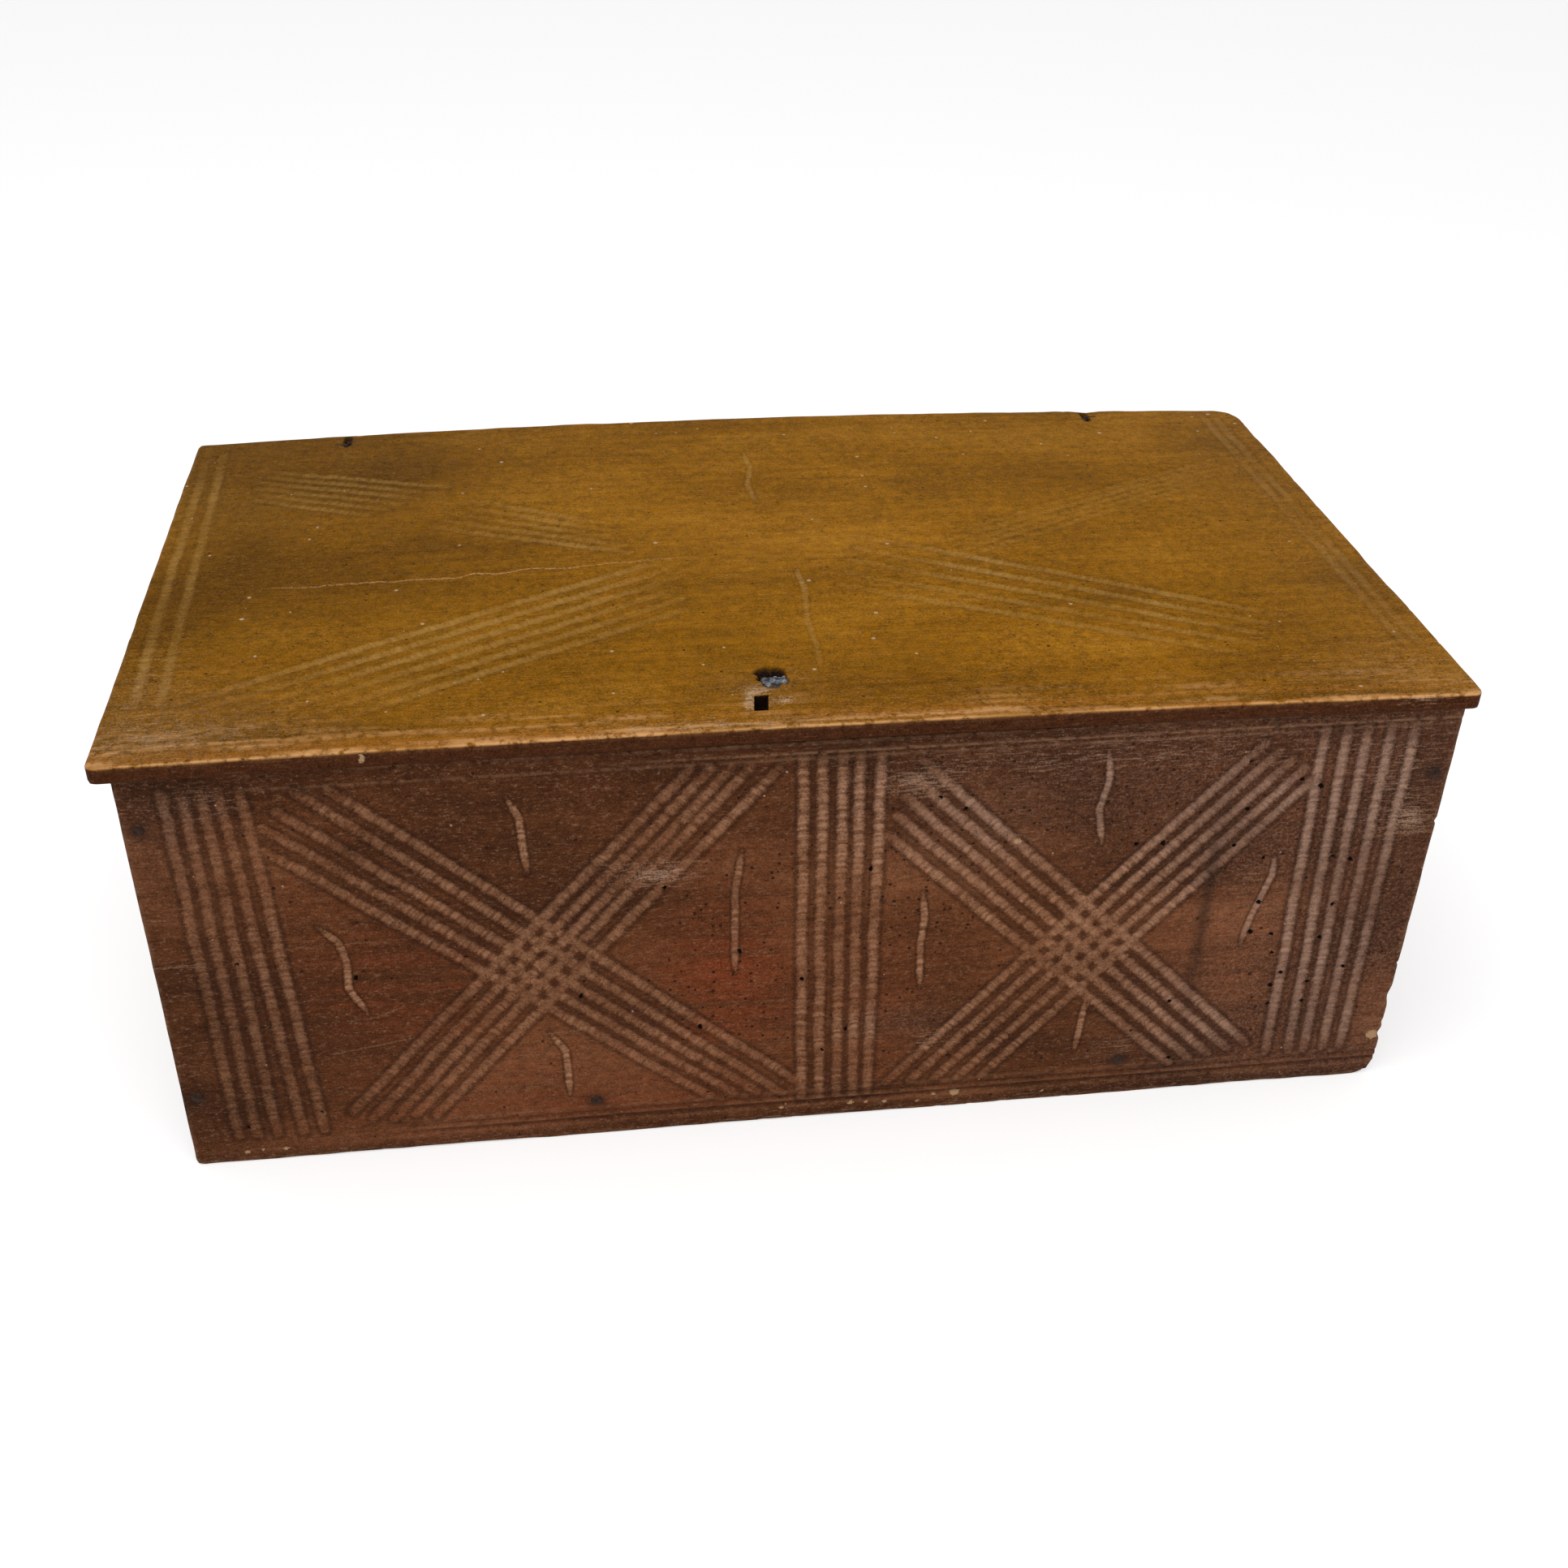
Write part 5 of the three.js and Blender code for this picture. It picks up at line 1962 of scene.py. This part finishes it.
@dataclass(frozen=True)
class WireHinge:
    """A wire hinge: a split pin through the lid and one through the back board.

    The back board's pin starts an eye's radius below the axis, so that the eyes are linked.
    """

    side: str
    lean: float = math.radians(25)
    fall: float = math.radians(45)
    half_lid: float = 224.9
    lid_under: float = 165.3
    lid_arch: float = 1.8
    lid_thickness: float = 6.4
    back_inside: float = 108.4
    lid_sink: float = 1.05
    back_sink: float = 1.35
    eye: float = 2.8

    def pins(self) -> tuple[SplitPin, SplitPin]:
        """Lists the lid's pin and the back board's.

        The lid's is clenched on its top: under + thickness + 4 arch s(1 - s), s being the
        hinge's share of the lid's length.

        Returns:
            Both pins.
        """
        x = HINGES[self.side]
        axis = np.array([x, *HINGE_AXIS])
        s = (x + self.half_lid) / (2 * self.half_lid)
        top = self.lid_under + 4 * self.lid_arch * s * (1 - s) + self.lid_thickness
        across = np.array([0, math.cos(self.lean), math.sin(self.lean)])
        up = np.array([0, -math.sin(self.lean), math.cos(self.lean)])
        down = np.array([0, -math.cos(self.fall), -math.sin(self.fall)])
        return (SplitPin(f"hinge_{self.side}_lid_pin", "lid", across, up, axis, 2,
                         top - self.lid_sink),
                SplitPin(f"hinge_{self.side}_back_pin", "case", np.array([1.0, 0, 0]), down,
                         axis + down * self.eye, 1, self.back_inside - self.back_sink, seed=5))


@dataclass
class WoodenBox:
    """The whole box: six boards, two wire hinges, sixteen nails and the hasp stub."""

    pieces: list[bpy.types.Object] = field(default_factory=list)

    def dress(self, obj: bpy.types.Object, material: bpy.types.Material) -> None:
        """Gives a piece its finish and reports it.

        Args:
            obj: The piece.
            material: Its finish.
        """
        obj.data.materials.clear()
        obj.data.materials.append(material)
        self.pieces.append(obj)
        log.info("%s: %d faces, %s", obj.name, len(obj.data.polygons), material.name)

    def case(self) -> None:
        """Builds the five boards of the case."""
        front = WaxedWood(
            name="front_wood", grain=Grain.ALONG_X,
            tones=("4b2a17", "5a331c", "663b22", "75472c"), cut_tones=("774d33", "b08263"),
            dark_tone="28140a", arris_tone="8e6a50", fleck_tone="b39079", warm_tone="75361c",
            dry_tone="7b5d50", side_tone="4a2c1c")
        side = replace(front, name="side_wood", grain=Grain.ALONG_Y, flecks=0.12)
        back = replace(front, name="back_wood", roughness=0.6, flecks=0.12)
        rear = back.make()
        ends = side.make()
        self.dress(CarvedFront("front_board", Lie.FRONT, pitch=1.0, seed=11).build(),
                   front.make())
        self.dress(Board("back_board", Lie.BACK, pitch=3.0, seed=23).build(), rear)
        self.dress(Board("left_end_board", Lie.LEFT, pitch=2.6, seed=37).build(), ends)
        self.dress(Board("right_end_board", Lie.RIGHT, pitch=2.6, seed=41).build(), ends)
        self.dress(Board("bottom_board", Lie.FLAT, pitch=4.0, seed=53).build(), rear)

    def lid(self) -> None:
        """Builds the lid plank."""
        wood = WaxedWood(
            name="lid_wood", grain=Grain.ALONG_X,
            tones=("7b4f04", "885906", "915f09", "9b6813"), cut_tones=("9c7434", "b08a4e"),
            dark_tone="482903", arris_tone="d6a068", fleck_tone="c6a98a", warm_tone="a0641a",
            dry_tone="8f6c48", side_tone="482817", streak=0.2, rim_shade=0.15, speckle=0.22, pores=0.4,
            flecks=0.5, roughness=0.42, gloss=0.008)
        plank = PlankLid("lid_board", Lie.FLAT, body="lid", slot="lid_wood",
                         pitch=1.32, arris=1.1, seed=61)
        self.dress(plank.build(), wood.make())

    def iron(self) -> None:
        """Builds the hinges, nails and stub."""
        iron = ForgedIron().make()
        for side in HINGES:
            for pin in WireHinge(side).pins():
                self.dress(pin.build(), iron)
        nails = [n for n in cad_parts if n.startswith("nail_")]
        for number, node in enumerate(sorted(nails)):
            headed = node != "nail_front_right_lower"
            self.dress(RoseNail(node, number + 1, headed).build(), iron)
        rubbed = replace(ForgedIron(), name="rubbed_iron", dark="16161a", bright="8b919b",
                         rust="241c1b", rust_from=0.52, metal=0.55, gloss=0.4, roughness=0.38)
        self.dress(HaspStub().build(), rubbed.make())


@dataclass(frozen=True)
class Studio:
    """A pale floor, soft lamps and the camera that matches the photograph."""

    lens: float = 41.14
    sensor: float = 36.0
    place: tuple[float, float, float] = (-0.0777, -0.6063, 0.4705)
    roll: float = -3.297
    pan: float = -6.715
    tilt: float = 123.70
    sky: float = 0.55
    floor_glow: float = 0.45
    floor_tone: tuple[float, float, float, float] = (0.82, 0.82, 0.82, 1.0)
    floor_reach: float = 4.0
    floor_steps: int = 9
    floor_drop: float = 0.05
    aim: tuple[float, float, float] = (0.0, 0.0, 0.08)

    WHITE = (1.0, 1.0, 1.0, 1.0)

    def camera(self) -> None:
        """Sets the camera: world to camera is Rz(roll) Ry(pan) Rx(tilt), y down, z ahead."""
        turn = (Matrix.Rotation(math.radians(self.roll), 3, "Z")
                @ Matrix.Rotation(math.radians(self.pan), 3, "Y")
                @ Matrix.Rotation(math.radians(self.tilt), 3, "X"))
        data = bpy.data.cameras.new("camera")
        data.lens, data.sensor_width = self.lens, self.sensor
        data.clip_start, data.clip_end = 0.01, 50.0
        obj = bpy.data.objects.new("camera", data)
        bpy.context.collection.objects.link(obj)
        matrix = Matrix((turn[0], -turn[1], -turn[2])).transposed().to_4x4()
        matrix.translation = self.place
        obj.matrix_world = matrix
        bpy.context.scene.camera = obj

    def lamp(self, name: str, place: tuple[float, float, float], size: float,
             power: float) -> None:
        """Adds a square soft lamp that faces the box.

        Args:
            name: The lamp's name.
            place: Where it stands, in metres.
            size: Length of its sides.
            power: Its strength in watts.
        """
        data = bpy.data.lights.new(name, "AREA")
        data.size, data.energy = size, power
        obj = bpy.data.objects.new(name, data)
        bpy.context.collection.objects.link(obj)
        obj.location = place
        way = Vector(place) - Vector(self.aim)
        obj.rotation_euler = way.to_track_quat("Z", "Y").to_euler()

    def white(self, s: Sheet) -> bpy.types.NodeSocket:
        """1 for rays from the camera, from gloss and through glass, else 0.

        Args:
            s: The node sheet.

        Returns:
            The value.
        """
        rays = s.node("ShaderNodeLightPath", {}).outputs
        total = rays["Is Camera Ray"]
        for name in ("Is Glossy Ray", "Is Transmission Ray"):
            total = s.calc("MAXIMUM", total, rays[name])
        return total

    def sky_light(self) -> None:
        """Makes the pale surroundings, which the camera sees as white."""
        world = bpy.data.worlds.new("studio")
        bpy.context.scene.world = world
        s = Sheet(world)
        level = s.node("ShaderNodeMapRange", {"Value": self.white(s), "To Min": self.sky,
                                              "To Max": 1.0})
        back = s.node("ShaderNodeBackground", {"Color": self.WHITE,
                                               "Strength": level.outputs["Result"]})
        s.node("ShaderNodeOutputWorld", {"Surface": back.outputs[0]})

    def floor_paint(self) -> bpy.types.Material:
        """Pale matt paint that glows for the camera.

        Returns:
            The paint.
        """
        s = Sheet(bpy.data.materials.new("floor"))
        level = s.times(self.white(s), self.floor_glow)
        paint = s.node("ShaderNodeBsdfDiffuse", {"Color": self.floor_tone})
        glow = s.node("ShaderNodeEmission", {"Color": self.WHITE, "Strength": level})
        both = s.node("ShaderNodeAddShader", {0: paint.outputs[0], 1: glow.outputs[0]})
        s.node("ShaderNodeOutputMaterial", {"Surface": both.outputs[0]})
        return s.owner

    def floor(self) -> None:
        """Lays a flat square of quads just below the box."""
        steps = self.floor_steps
        line = np.linspace(-self.floor_reach, self.floor_reach, steps) / METRE
        x, y = np.meshgrid(line, line, indexing="ij")
        points = np.stack([x.ravel(), y.ravel(), np.full(x.size, -self.floor_drop)], 1)
        i, j = np.meshgrid(np.arange(steps - 1), np.arange(steps - 1), indexing="ij")
        a = (i * steps + j).ravel()
        corners = np.stack([a, a + steps, a + steps + 1, a + 1], 1).ravel()
        obj = write_mesh("floor", points, corners, np.full((steps - 1) ** 2, 4), {}, 30.0)
        obj.data.materials.append(self.floor_paint())

    def build(self) -> None:
        """Sets the view transform, camera, lamps, surroundings and floor."""
        bpy.context.scene.view_settings.view_transform = "Standard"
        self.camera()
        self.lamp("key_lamp", (-0.5, -0.5, 1.7), 1.3, 9.0)
        self.lamp("front_lamp", (0.5, -1.7, 0.9), 1.4, 9.0)
        self.sky_light()
        self.floor()


def main() -> None:
    """Builds the studio and the box."""
    logging.basicConfig(level=logging.INFO, format="%(message)s")
    Studio().build()
    box = WoodenBox()
    box.case()
    box.lid()
    box.iron()
    log.info("%d pieces", len(box.pieces))


if __name__ == "__main__":
    main()
